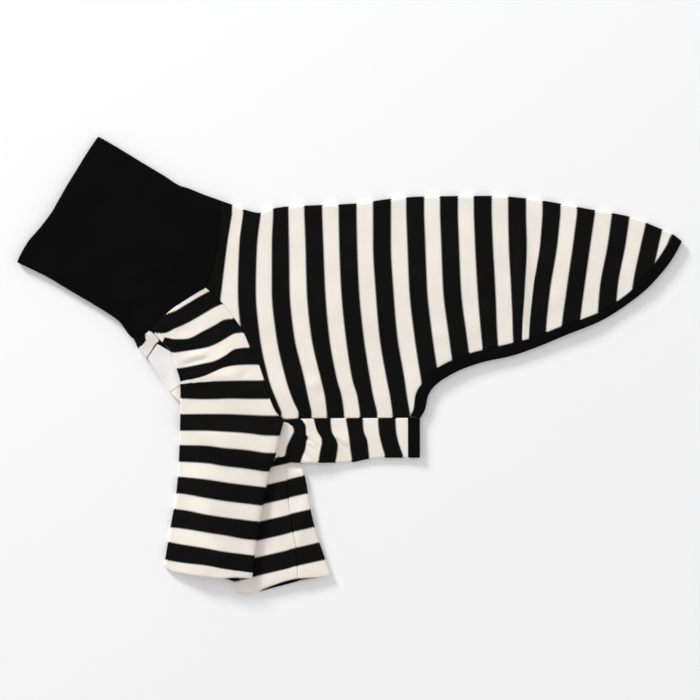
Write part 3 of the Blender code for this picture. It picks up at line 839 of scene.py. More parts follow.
class Cloth:
    """A sheet of cloth: patches of points that are welded and then given their wall."""

    def __init__(self, name: str) -> None:
        """Start with no cloth."""
        self.name = name
        self.mesh = bmesh.new()
        self.knit = self.mesh.loops.layers.uv.new("knit")

    def add(self, grid: Grid, knit: np.ndarray, closed: bool = False) -> "Cloth":
        """Add a patch.

        Args:
            grid: Its points.
            knit: The knit's own coordinates at each point: metres along the course, and
                stripes across. A closed patch has one more column of them.
            closed: Whether the last column joins the first.

        Returns:
            This cloth.
        """
        middle = np.array((*OUTLINE_MIDDLE, 0.0))
        places = (grid - middle) * MM
        verts = [[self.mesh.verts.new(point) for point in row] for row in places.tolist()]
        marks = knit.tolist()
        count = grid.shape[1]
        for r in range(len(verts) - 1):
            for c in range(count if closed else count - 1):
                after = (c + 1) % count
                face = self.mesh.faces.new(
                    (verts[r][c], verts[r][after], verts[r + 1][after], verts[r + 1][c])
                )
                corners = (marks[r][c], marks[r][c + 1], marks[r + 1][c + 1], marks[r + 1][c])
                for loop, corner in zip(face.loops, corners):
                    loop[self.knit].uv = corner
        return self

    def finish(self, wall: float, material: Material) -> Object:
        """Weld the patches, give the cloth its wall and dress it.

        Args:
            wall: The cloth's thickness.
            material: Its finish.

        Returns:
            The finished piece.
        """
        bmesh.ops.remove_doubles(self.mesh, verts=self.mesh.verts, dist=WELD)
        bmesh.ops.recalc_face_normals(self.mesh, faces=self.mesh.faces)
        data = bpy.data.meshes.new(self.name)
        self.mesh.to_mesh(data)
        self.mesh.free()
        data.materials.append(material)
        piece = placed(self.name, data)
        thicken = piece.modifiers.new("wall", "SOLIDIFY")
        thicken.thickness = wall * MM
        thicken.offset = 0.0
        thicken.use_quality_normals = True
        select_only(piece)
        bpy.ops.object.modifier_apply(modifier=thicken.name)
        bpy.ops.object.shade_smooth_by_angle(angle=math.radians(SMOOTH_BELOW))
        return piece


def placed(name: str, data: bpy.types.ID) -> Object:
    """A new object in the scene."""
    made = bpy.data.objects.new(name, data)
    bpy.context.scene.collection.objects.link(made)
    return made


def select_only(piece: Object) -> None:
    """Select one object and make it active."""
    bpy.ops.object.select_all(action="DESELECT")
    piece.select_set(True)
    bpy.context.view_layer.objects.active = piece


def lengths_along(rows: np.ndarray) -> np.ndarray:
    """How far each point of some rows lies from its row's first, along the row."""
    steps = np.linalg.norm(np.diff(rows, axis=-2), axis=-1)
    return np.concatenate([np.zeros_like(steps[..., :1]), np.cumsum(steps, axis=-1)], axis=-1)


def knit_marks(
    grid: Grid, stripes: Callable[[Places], np.ndarray], zero_column: int, closed: bool = False
) -> np.ndarray:
    """The knit's own coordinates on a grid.

    Args:
        grid: The cloth's middle surface, whose rows run along the courses.
        stripes: Gives the number of stripes up to each place.
        zero_column: The column from which lengths along the courses are counted.
        closed: Whether the last column joins the first.

    Returns:
        Metres along the course, and stripes across, for each point.
    """
    ring = np.concatenate([grid, grid[:, :1]], axis=1) if closed else grid
    along = lengths_along(ring)
    along = (along - along[:, zero_column : zero_column + 1]) * MM
    across = stripes(ring[..., :2].reshape(-1, 2)).reshape(ring.shape[:2])
    return np.stack([along, across], axis=2)


@dataclass(frozen=True)
class Stripes:
    """The edges between black and cream, in order, as curves in plan.

    Black lies where the number of stripes up to a place is even, once rounded down.
    """

    edges: tuple[Glide, ...]
    downwards: bool = False
    starts_black: bool = True

    def __call__(self, places: Places) -> np.ndarray:
        """The number of stripes up to each place.

        Args:
            places: Places in plan.

        Returns:
            A number for each, whose fraction is the share of the stripe that it lies in.
        """
        at, way = (places[:, 0], -places[:, 1]) if self.downwards else (places[:, 1], places[:, 0])
        lines = np.stack([edge(at) for edge in self.edges])
        lines = np.maximum.accumulate(-lines if self.downwards else lines, axis=0)
        pitch = STRIPE_PITCH / 2
        lines = np.concatenate([lines[:1] - pitch, lines, lines[-1:] + pitch])
        passed = np.clip((lines <= way).sum(0), 1, len(lines) - 1)
        columns = np.arange(len(way))
        low, high = lines[passed - 1, columns], lines[passed, columns]
        share = (way - low) / np.maximum(high - low, LEAST_WIDTH)
        share = np.where(passed == 1, np.maximum(share, STRIPE_MARGIN), share)
        share = np.where(passed == len(lines) - 1, np.minimum(share, 1 - STRIPE_MARGIN), share)
        return passed - (1 if self.starts_black else 0) + share


# ---- Finishes ----

def through(operation: str, backwards: bool = False) -> Callable[..., "Signal"]:
    """A method that passes its values through one Math node.

    Args:
        operation: The node's operation.
        backwards: Whether the method's own value comes last.

    Returns:
        The method.
    """

    def method(*values: "Signal | float") -> "Signal":
        """The node's value."""
        return values[0].shader.math(operation, *(values[::-1] if backwards else values))

    return method


class Signal:
    """One value of a shader. Python's operators join it to others through Math nodes."""

    __add__ = __radd__ = through("ADD")
    __mul__ = __rmul__ = through("MULTIPLY")
    __sub__, __rsub__ = through("SUBTRACT"), through("SUBTRACT", backwards=True)
    __truediv__, __rtruediv__ = through("DIVIDE"), through("DIVIDE", backwards=True)
    __pow__, __abs__ = through("POWER"), through("ABSOLUTE")
    fraction, sine = through("FRACT"), through("SINE")
    at_most, at_least = through("MINIMUM"), through("MAXIMUM")

    def __init__(self, shader: "Shader", socket: NodeSocket) -> None:
        """Wrap a node's output socket."""
        self.shader = shader
        self.socket = socket

    def clamped(self) -> "Signal":
        """The value kept from 0 to 1."""
        return self.at_most(1.0).at_least(0.0)


class Shader:
    """A material's nodes."""

    def __init__(self, name: str) -> None:
        """Start a material with no nodes."""
        self.material = bpy.data.materials.new(name)
        self.material.use_nodes = True
        self.tree = self.material.node_tree
        self.tree.nodes.clear()

    def node(
        self, kind: str, settings: dict | None = None, inputs: dict | None = None
    ) -> Node:
        """Make a node.

        Args:
            kind: The node's type.
            settings: Its own settings, which are set first.
            inputs: A value, a `Signal` or a socket for each input, by name or number.

        Returns:
            The node.
        """
        made = self.tree.nodes.new(kind)
        for key, value in (settings or {}).items():
            setattr(made, key, value)
        for key, value in (inputs or {}).items():
            socket = made.inputs[key]
            if isinstance(value, Signal):
                self.tree.links.new(value.socket, socket)
            elif isinstance(value, NodeSocket):
                self.tree.links.new(value, socket)
            else:
                socket.default_value = value
        return made

    def math(self, operation: str, *values: Signal | float) -> Signal:
        """Values through one Math node."""
        made = self.node("ShaderNodeMath", {"operation": operation}, dict(enumerate(values)))
        return Signal(self, made.outputs[0])

    def knit(self) -> tuple[Signal, Signal]:
        """Metres along the course and stripes across, from the cloth's own map."""
        source = self.node("ShaderNodeUVMap", {"uv_map": "knit"})
        parts = self.node("ShaderNodeSeparateXYZ", inputs={0: source.outputs["UV"]})
        return Signal(self, parts.outputs["X"]), Signal(self, parts.outputs["Y"])

    def noise(self, scale: float, detail: float = 3.0, roughness: float = 0.5) -> Signal:
        """Noise over the piece, about 0.5.

        Args:
            scale: The number of its cells in a metre.
            detail: How many finer layers it has.
            roughness: How strong they are.

        Returns:
            The noise.
        """
        source = self.node("ShaderNodeTexCoord")
        inputs = {
            "Vector": source.outputs["Object"], "Scale": scale,
            "Detail": detail, "Roughness": roughness,
        }
        made = self.node("ShaderNodeTexNoise", inputs=inputs)
        return Signal(self, made.outputs["Fac"])

    def mixed(
        self, factor: Signal, first: tuple | NodeSocket, second: tuple | NodeSocket
    ) -> NodeSocket:
        """Two colours mixed by a factor.

        Args:
            factor: How much of the second one shows.
            first: The first colour.
            second: The second colour.

        Returns:
            The mixed colour.
        """
        inputs = {0: factor, 6: first, 7: second}
        made = self.node("ShaderNodeMix", {"data_type": "RGBA"}, inputs)
        return made.outputs[2]

    def surface(
        self, colour: NodeSocket | tuple, roughness: Signal | float,
        relief: Signal, depth: float, shine: float, fuzz: float = 0.0,
    ) -> Material:
        """Close the material with one Principled surface.

        Args:
            colour: Its colour.
            roughness: Its roughness.
            relief: The height of its fine relief, from 0 to 1.
            depth: That relief's depth in millimetres.
            shine: How much light it mirrors, where 0.5 is plain plastic.
            fuzz: How much its loose fibres catch the light.

        Returns:
            The material.
        """
        bump = self.node("ShaderNodeBump", inputs={"Height": relief, "Distance": depth * MM})
        inputs = {
            "Base Color": colour, "Roughness": roughness, "Specular IOR Level": shine,
            "Sheen Weight": fuzz, "Sheen Roughness": 0.6, "Normal": bump.outputs["Normal"],
        }
        shader = self.node("ShaderNodeBsdfPrincipled", inputs=inputs)
        self.node("ShaderNodeOutputMaterial", inputs={"Surface": shader.outputs["BSDF"]})
        return self.material


def rgb(red: float, green: float, blue: float) -> tuple[float, float, float, float]:
    """An opaque colour."""
    return (red, green, blue, 1.0)


@dataclass(frozen=True)
class StripedJersey:
    """Cotton jersey knitted in black and cream stripes, with steps where the yarns change, and
    painted highlight and shade on its stitch loops.
    """

    name: str = "striped_jersey"
    # Each yarn is mixed from a darker and a lighter tone: the lighter one is painted highlight on
    # the stitch loops' tops, together with random mottle.
    black: tuple[float, ...] = rgb(0.0030, 0.0028, 0.0027)
    black_lit_and_mottled: tuple[float, ...] = rgb(0.0068, 0.0064, 0.0062)
    cream: tuple[float, ...] = rgb(0.89, 0.843, 0.772)
    cream_shade: tuple[float, ...] = rgb(0.80, 0.735, 0.658)
    wale: float = 2.05
    courses_in_stripe: float = 10.0
    step: float = 0.7
    black_spread: float = 0.015
    edge_softness: float = 0.012
    relief: float = 0.2
    shine: float = 0.04

    def material(self) -> Material:
        """Build the material."""
        shader = Shader(self.name)
        along, stripe = shader.knit()
        slant = abs((along / (self.wale * MM)).fraction() - 0.5) * 2
        course = stripe * self.courses_in_stripe
        loop = abs(((course + slant * 0.5) * math.pi).sine())
        leg = (slant * math.pi).sine()
        stitch = (leg * 0.6 + 0.4) * (loop ** 0.6)
        tooth = (slant * 3 - 1).clamped() - 0.5
        stepped = (stripe + tooth * (self.step / self.courses_in_stripe)) / 2
        away = abs((stepped + 0.25).fraction() - 0.5)
        cream = ((away - (0.25 + self.black_spread)) / self.edge_softness + 0.5).clamped()
        mottle = shader.noise(60.0, 4.0, 0.6)
        fibre = shader.noise(2600.0, 3.0, 0.7)
        # Painted light and shade on the knit: stitch loop tops are painted lighter and their
        # hollows darker, mixed with random fibre and mottle tone.
        light = (stitch * 0.35 + fibre * 0.5 + mottle * 0.9 - 0.35).clamped()
        creamy = shader.mixed(light, self.cream_shade, self.cream)
        blackish = shader.mixed(light, self.black, self.black_lit_and_mottled)
        colour = shader.mixed(cream, blackish, creamy)
        relief = stitch * 0.8 + fibre * 0.2
        return shader.surface(colour, 0.92 - fibre * 0.1, relief, self.relief, self.shine)


class RibRun(Enum):
    """Which way a rib's ridges run on its piece."""

    ALONG_COURSES = "x"
    ACROSS_COURSES = "y"


@dataclass(frozen=True)
class BlackRib:
    """Black ribbed knit."""

    name: str
    rib: float
    run: RibRun = RibRun.ACROSS_COURSES
    courses: float = 1.0
    black: tuple[float, ...] = rgb(0.0016, 0.0016, 0.0016)
    lit: tuple[float, ...] = rgb(0.0040, 0.0040, 0.0040)
    relief: float = 0.3
    shine: float = 0.04

    def material(self) -> Material:
        """Build the material."""
        shader = Shader(self.name)
        along, row = shader.knit()
        if self.run is RibRun.ALONG_COURSES:
            along, row = row, along
        ridge = abs((along / (self.rib * MM) * math.pi).sine()) ** 0.7
        slant = abs((along / (self.rib * MM)).fraction() - 0.5) * 2
        loop = abs(((row / (self.courses * MM) + slant * 0.5) * math.pi).sine())
        fibre = shader.noise(2400.0, 3.0, 0.7)
        height = ridge * 0.7 + ridge * loop * 0.2 + fibre * 0.1
        light = (height * 0.6 + shader.noise(45.0, 3.0) * 0.4).clamped()
        colour = shader.mixed(light, self.black, self.lit)
        return shader.surface(colour, 0.92 - fibre * 0.08, height, self.relief, self.shine)


@dataclass(frozen=True)
class WovenTape:
    """Smooth white woven tape, blank."""

    name: str = "woven_label"
    white: tuple[float, ...] = rgb(0.84, 0.82, 0.80)
    shade: tuple[float, ...] = rgb(0.78, 0.76, 0.745)
    thread: float = 0.45
    relief: float = 0.08

    def material(self) -> Material:
        """Build the material."""
        shader = Shader(self.name)
        along, across = shader.knit()
        warp = (along / (self.thread * MM) * math.pi).sine()
        weft = (across / (self.thread * MM) * math.pi).sine()
        weave = warp * weft * 0.5 + 0.5
        colour = shader.mixed(weave, self.shade, self.white)
        return shader.surface(colour, 0.6, weave, self.relief, 0.3)


@dataclass(frozen=True)
class PaleFloor:
    """Plain matt white card under the shirt."""

    name: str = "pale_floor"
    white: tuple[float, ...] = rgb(0.90, 0.90, 0.905)

    def material(self) -> Material:
        """Build the material."""
        shader = Shader(self.name)
        grain = shader.noise(900.0, 2.0)
        return shader.surface(self.white, 0.9, grain, 0.02, 0.2)


# ---- Pieces ----

class PanelSection(NamedTuple):
    """A section of a folded panel: where its line starts at the fold and ends at the edge."""

    fold_x: float
    edge_x: float
    bow: float
    steps: int


@dataclass(frozen=True)
class Panel:
    """A striped panel that is folded in two, with its cut edges rolled into their seams."""

    finish: StripedJersey
    finer: int = 4
    columns: tuple[int, int] = (78, 40)
    seam_roll: float = 0.55
    seam_tail: float = 0.3

    @property
    def inset(self) -> float:
        """How far inside its seam the cloth's middle surface ends."""
        return JERSEY_WALL / 2 + self.seam_roll

    def sewn(
        self, name: str, routes: Sequence[Route], upper: Height, lower: Height, stripes: Stripes
    ) -> Object:
        """Make the panel's cloth.

        Args:
            name: The piece's name.
            routes: Each row's line, from the cut edge to the fold.
            upper: The near half's height.
            lower: The far half's height.
            stripes: The panel's stripes.

        Returns:
            The piece.
        """
        rows = [folded_row(route, upper, lower, self.columns, JERSEY_WALL) for route in routes]
        grid = np.stack(rows)
        normals = outward_normals(grid, False)
        roll = rolled_columns(grid, normals, self.seam_roll, QUARTER_TURN, self.seam_tail)
        out = unit(grid[:, -1] - grid[:, -2])
        lip = grid[:, -1] + out * (self.inset - SEAM_OVERLAP)
        grid = np.concatenate([roll, grid, lip[:, None]], axis=1)
        marks = knit_marks(grid, stripes, roll.shape[1] + self.columns[0])
        return Cloth(name).add(grid, marks).finish(JERSEY_WALL, self.finish.material())


class BlackStripe(NamedTuple):
    """A black stripe across the back: its left edge and its width at each level."""

    left: tuple[float, ...]
    width: tuple[float, ...]


PLAIN = (14, 14, 14, 14, 14, 14, 13.5)


@dataclass(frozen=True)
class BackPanel(Panel):
    """The striped back: one piece folded over along the spine."""

    sections: tuple[PanelSection, ...] = table(PanelSection,
        (-104.1, -115.5, 3.5, 2), (-91.5, -101.5, -2, 2), (-87.5, -92.5, -2.2, 2),
        (-84.3, -84.5, -2.6, 2), (-82.2, -79, -4, 2), (-80, -72.5, -5.5, 2), (-78, -68, -6.5, 2),
        (-76, -63.5, -7.5, 2), (-73.5, -57.5, -10, 2), (-70, -51, -13, 2), (-49, -30.5, -6.7, 3),
        (-22, -4.5, -5.4, 3), (5.5, 22.5, -5, 3), (32.5, 47.5, -4.5, 1), (38.5, 51.5, -4.2, 1),
        (43, 53, -3.9, 2), (49.5, 58, -3.7, 2), (59.5, 71, -3.3, 3), (86.5, 95.5, -2.5, 3),
        (113.5, 118.5, -0.3, 3), (141, 137.5, 1.9, 3), (168.5, 157.5, 0, 3), (196.5, 184, 0, 3),
        (224, 213, -0.5, 3), (249.5, 241, 0, 2), (257.6, 255.4, 0, 0),
    )
    levels: tuple[float, ...] = (122, 97, 61, 25, -11, -22.8, -36.5)
    first_black_ends: tuple[float, ...] = (-94, -98, -102.5, -107, -107, -107, -107)
    black_stripes: tuple[BlackStripe, ...] = table(BlackStripe,
        ((-85, -88, -89, -86, -78.5, -74.2, -68), PLAIN),
        ((-61, -62, -62, -58.5, -50.5, -46.6, -40.5), (12, 13.5, 14, 14, 14.5, 12.9, 10)),
        ((-36, -35, -34, -30.5, -22.5, -19.7, -18), (14, 14, 14.5, 14, 12.5, 13.1, 13.5)),
        ((-8.5, -8, -6.5, -3, 2.5, 6.2, 8.5), (14, 14, 14, 14, 14, 12.4, 13.5)),
        ((19, 19, 21, 24, 30, 32.4, 34.5), (14, 14, 14, 14, 14, 13.2, 13.5)),
        ((45.5, 46.5, 48, 52, 57.5, 59.6, 62), PLAIN),
        ((72.5, 73.5, 75, 79.5, 84.5, 86.2, 88), PLAIN),
        ((99.5, 100.5, 102.5, 105.5, 109.5, 111.2, 113), (14, 14, 14, 12.5, 12, 12, 12)),
        ((127, 127.5, 129.5, 131, 131.5, 131.8, 132), (14, 14, 10.5, 7, 6.5, 6.5, 6)),
        ((154.5, 152.4, 146.6, 143.3, 142.6, 142.6, 142.6), (14, 13.6, 13.6, 13.6, 14, 14, 14)),
        ((182, 178.7, 173.6, 169.3, 168, 168, 168), (14, 13.6, 13.7, 13.9, 14, 14, 14)),
        ((210, 206.5, 200, 198, 197, 197, 197), PLAIN),
        ((239, 233, 226, 223, 222, 222, 222), PLAIN),
    )

    def stripes(self) -> Stripes:
        """The panel's stripes."""
        levels = self.levels[::-1]
        edges = [Glide(levels, self.first_black_ends[::-1])]
        for stripe in self.black_stripes:
            left = np.array(stripe.left[::-1])
            edges += [Glide(levels, left), Glide(levels, left + np.array(stripe.width[::-1]))]
        return Stripes(tuple(edges))

    def build(self) -> Object:
        """Build the panel.

        Returns:
            The piece.
        """
        back_edge, spine = along_x(CUT.back_edge), along_x(CUT.spine)
        routes = [
            arc_between(on_x(back_edge, row.edge_x, self.inset), on_x(spine, row.fold_x), -row.bow)
            for row in spread_rows(self.sections, self.finer)
        ]
        piece = self.sewn("back_cloth", routes, LAY.back_over, LAY.on_floor, self.stripes())
        return piece


@dataclass(frozen=True)
class ChestPanel(Panel):
    """The striped underside from throat to belly: one piece folded along its middle."""

    sections: tuple[PanelSection, ...] = table(PanelSection,
        (-172.2, -160.2, 0, 1), (-167, -156, 0, 1), (-160, -150, 0, 1), (-153, -143.2, 0, 2),
        (-141, -122, 0, 2), (-121, -98, 0, 3), (-87.5, -70, 0, 3), (-55.5, -51, 0, 5),
        (-37.5, -38, 3.5, 2), (-17, -21.5, 3, 2), (2, -2.5, 0, 2), (22, 16.5, 0.4, 3),
        (46.8, 46.6, 0, 0),
    )
    finer: int = 7
    columns: tuple[int, int] = (36, 18)
    seam_tail: float = 0.2
    edges: tuple[Trace, ...] = (
        traced((-163, 29.5), (-163, 21.5), (-165, 18), (-169, 15)),
        traced((-152, 20.5), (-155, 18), (-158, 13), (-162, 7.5)),
        traced((-138, 9), (-150, -10)),
        traced((-127, 2), (-133, -32)),
        traced((-116, -5), (-122, -46)),
        traced((-104, -12), (-112, -54)),
        traced((-92, -20), (-104, -60)),
        traced((-80, -27), (-93, -65)),
        traced((-59.5, -38), (-61.5, -56), (-64.5, -70)),
        traced(
            (-55.5, -43), (-53, -44), (-49.4, -45.2), (-46.4, -46.8), (-44.6, -49), (-44.2, -52),
            (-45.7, -55.2), (-50.2, -65.4), (-51.6, -71.9), (-60, -72.5),
        ),
        traced(
            (-39.1, -41.5), (-35, -48.2), (-35, -53.6), (-33.4, -57.3), (-34.6, -59.3),
            (-35.4, -65.4), (-38.1, -72.3), (-39.1, -76),
        ),
        traced(
            (-28.5, -41.8), (-26.1, -51.1), (-22, -58.5), (-22, -61.4), (-23.2, -67.4),
            (-24.8, -76.9),
        ),
        traced(
            (-15.6, -40.5), (-14.6, -51.1), (-10.6, -59.3), (-9.5, -63.4), (-10.2, -69.5),
            (-11.8, -77.7),
        ),
        traced((-2.5, -43), (-1, -51), (1, -67), (2, -73)),
        traced((10.5, -43), (11, -51), (14, -59), (15.5, -72)),
        traced((23, -43), (23.5, -51), (25, -59), (28.5, -71)),
        traced((36.5, -43), (37, -51), (38.5, -59), (42.5, -71)),
    )

    def build(self) -> Object:
        """Build the panel.

        Returns:
            The piece.
        """
        edge, fold = along_x(CUT.chest_edge), along_x(CUT.chest_fold)
        routes = [
            arc_between(on_x(edge, row.edge_x, -self.inset), on_x(fold, row.fold_x), row.bow)
            for row in spread_rows(self.sections, self.finer)
        ]
        stripes = Stripes(tuple(along_y(edge) for edge in self.edges))
        piece = self.sewn("chest_cloth", routes, LAY.chest_over, LAY.chest_far, stripes)
        return piece


class ShoulderSection(NamedTuple):
    """A section of a sleeve's shoulder: back seam, leading fold and front seam."""

    back_x: float
    lead_y: float
    front_x: float
    front_y: float
    bow: float
    steps: int


class TubeSection(NamedTuple):
    """A section of a sleeve's tube, from its tail side to its head side."""

    right_y: float
    lead_y: float
    bow: float
    steps: int


class Side(Enum):
    """Which of the two sleeves."""

    NEAR = "near"
    FAR = "far"


SHOULDER_SECTIONS = table(ShoulderSection,
    (-115.5, 29, -156.4, 31.4, -2.6, 2), (-101.5, 26.5, -152.8, 28, 2, 2),
    (-92.5, 20.5, -147, 21.6, 3, 2), (-84.5, 11.5, -137.5, 11.5, 3.5, 2), (-79, -1, -122, -1, 0, 2),
    (-72.5, -12, -104, -12.2, -1.6, 2), (-68, -19.5, -91, -20.3, -0.5, 2),
    (-63.5, -26, -79.5, -27.5, 0, 2), (-57.5, -38, -63.5, -36.5, -0.5, 1),
)
NEAR_TUBE_SECTIONS = table(TubeSection,
    (-43.5, -42.5, -0.8, 1), (-56.5, -51, -1.2, 2), (-70.5, -63.5, -1, 2), (-84, -76, 0, 3),
    (-110.5, -102, 0, 3), (-138.5, -128, 1, 3), (-164.5, -153, 1, 1), (-170, -157.5, 0, 0),
)
FAR_TUBE_SECTIONS = table(TubeSection,
    (-43.5, -42.5, 0, 2), (-59, -62, 0, 2), (-76.5, -90, 0, 2), (-89.5, -108.5, 0, 3),
    (-116, -131, 0, 3), (-141.5, -155.5, 0, 3), (-167, -180, 0, 0),
)


class CuffPoint(NamedTuple):
    """How far a cuff's two walls reach past its straight line, at a share of its width."""

    share: float
    upper: float
    lower: float


NEAR_CUFF = table(CuffPoint,
    (0, -1.3, -1.4), (0.08, -0.9, -0.6), (0.12, -0.7, 2.2), (0.16, -0.3, 3), (0.2, 0.3, 3.2),
    (0.24, 1.2, 2.4), (0.34, 2.8, 2.4), (0.6, 4.1, 3.6), (0.9, 4.4, 4), (0.97, 3.1, 3),
    (1, 1.5, 1.5),
)
NEAR_LIP = traced(
    (-150, -163), (-141, -164.8), (-119.6, -168.1), (-102, -169.4), (-94, -168.9), (-87, -168.9),
    (-80, -170.2), (-60, -170.5),
)
"""Where the near sleeve's last black stripe begins, just past its cuff's upper edge."""
FAR_CUFF = table(CuffPoint,
    (0, -0.5, -0.7), (0.31, -1.8, -1.3), (0.34, -2.8, -0.9), (0.38, -2.9, -0.4), (0.47, -2.6, 0.2),
    (0.58, -1.5, 0.8), (0.69, -0.1, 1.6), (0.79, 0.6, 2.9), (0.86, 1, 4), (0.9, 1.2, 3.95),
    (0.96, 0.9, 2.2), (1, -1.2, -1.2),
)
FAR_LIP = traced(
    (-95, -192), (-76, -186), (-71, -179.8), (-67.6, -177.8), (-59.6, -174.4), (-51.6, -171.6),
    (-43.6, -169.8), (-40.4, -169.4), (-16.4, -168.8),
)
"""Where the far sleeve's last black stripe begins, past its cuff's upper edge."""
SHOULDER_LEVELS = (-159.5, -150.5, -148, -139.5, -131.5, -115.5, -107.5, -99.5, -91.5, -84)
"""Where across the shoulder its stripes' edges are given."""
SHOULDER_STRIPES = (
    (33.5, 40, 41, 44, 48.8, 58.2, 61.6, 62, 62, 62),
    (27.5, 26.8, 26.5, 30.5, 34, 43, 47.7, 51, 53, 55),
    (12.5, 12.5, 23.4, 21.7, 21.6, 28.7, 32.9, 37.3, 38, 39.5),
    (11, 11.5, 11.5, 11.5, 12.5, 15, 17.8, 22.2, 26.6, 27.5),
    (-5.5, -5, -4.5, -2.2, -1, 2.3, 4.2, 8.3, 13.6, 14.8),
    (-13.5, -13.5, -13.5, -13, -11.5, -7.5, -3.8, -0.4, 1, 1.6),
    (-16, -16, -16, -15.2, -13.3, -12.1, -11.7, -11.6, -11.5, -11.4),
    (-25, -25, -25, -25, -25.4, -26, -25.9, -25.5, -25.4, -25.7),
)
TUBE_LEVELS = (-148, -135, -115.5, -99.5, -83.5, -67.5)
"""Where across the near sleeve's tube its stripes' edges are given."""
NEAR_STRIPES = (
    (-38.3, -38.3, -38.1, -38.1, -38.7, -39.4), (-51, -51, -51.2, -52, -53, -55),
    (-62.8, -63, -63.2, -65.2, -66.6, -69.1), (-75.7, -76, -76.9, -79.4, -81.2, -83.6),
    (-88, -88.5, -90.2, -92.6, -94.7, -96.5), (-100.8, -101.4, -104.6, -107.2, -109.2, -111.1),
    (-113.6, -114.6, -118.1, -120.6, -122.6, -124.8),
    (-128, -129.2, -132.2, -134.6, -137.6, -139.2),
    (-139.8, -142.2, -145.2, -148.1, -150.1, -152.3),
    (-154.2, -156.6, -158.7, -161.6, -164.1, -166.5),
)


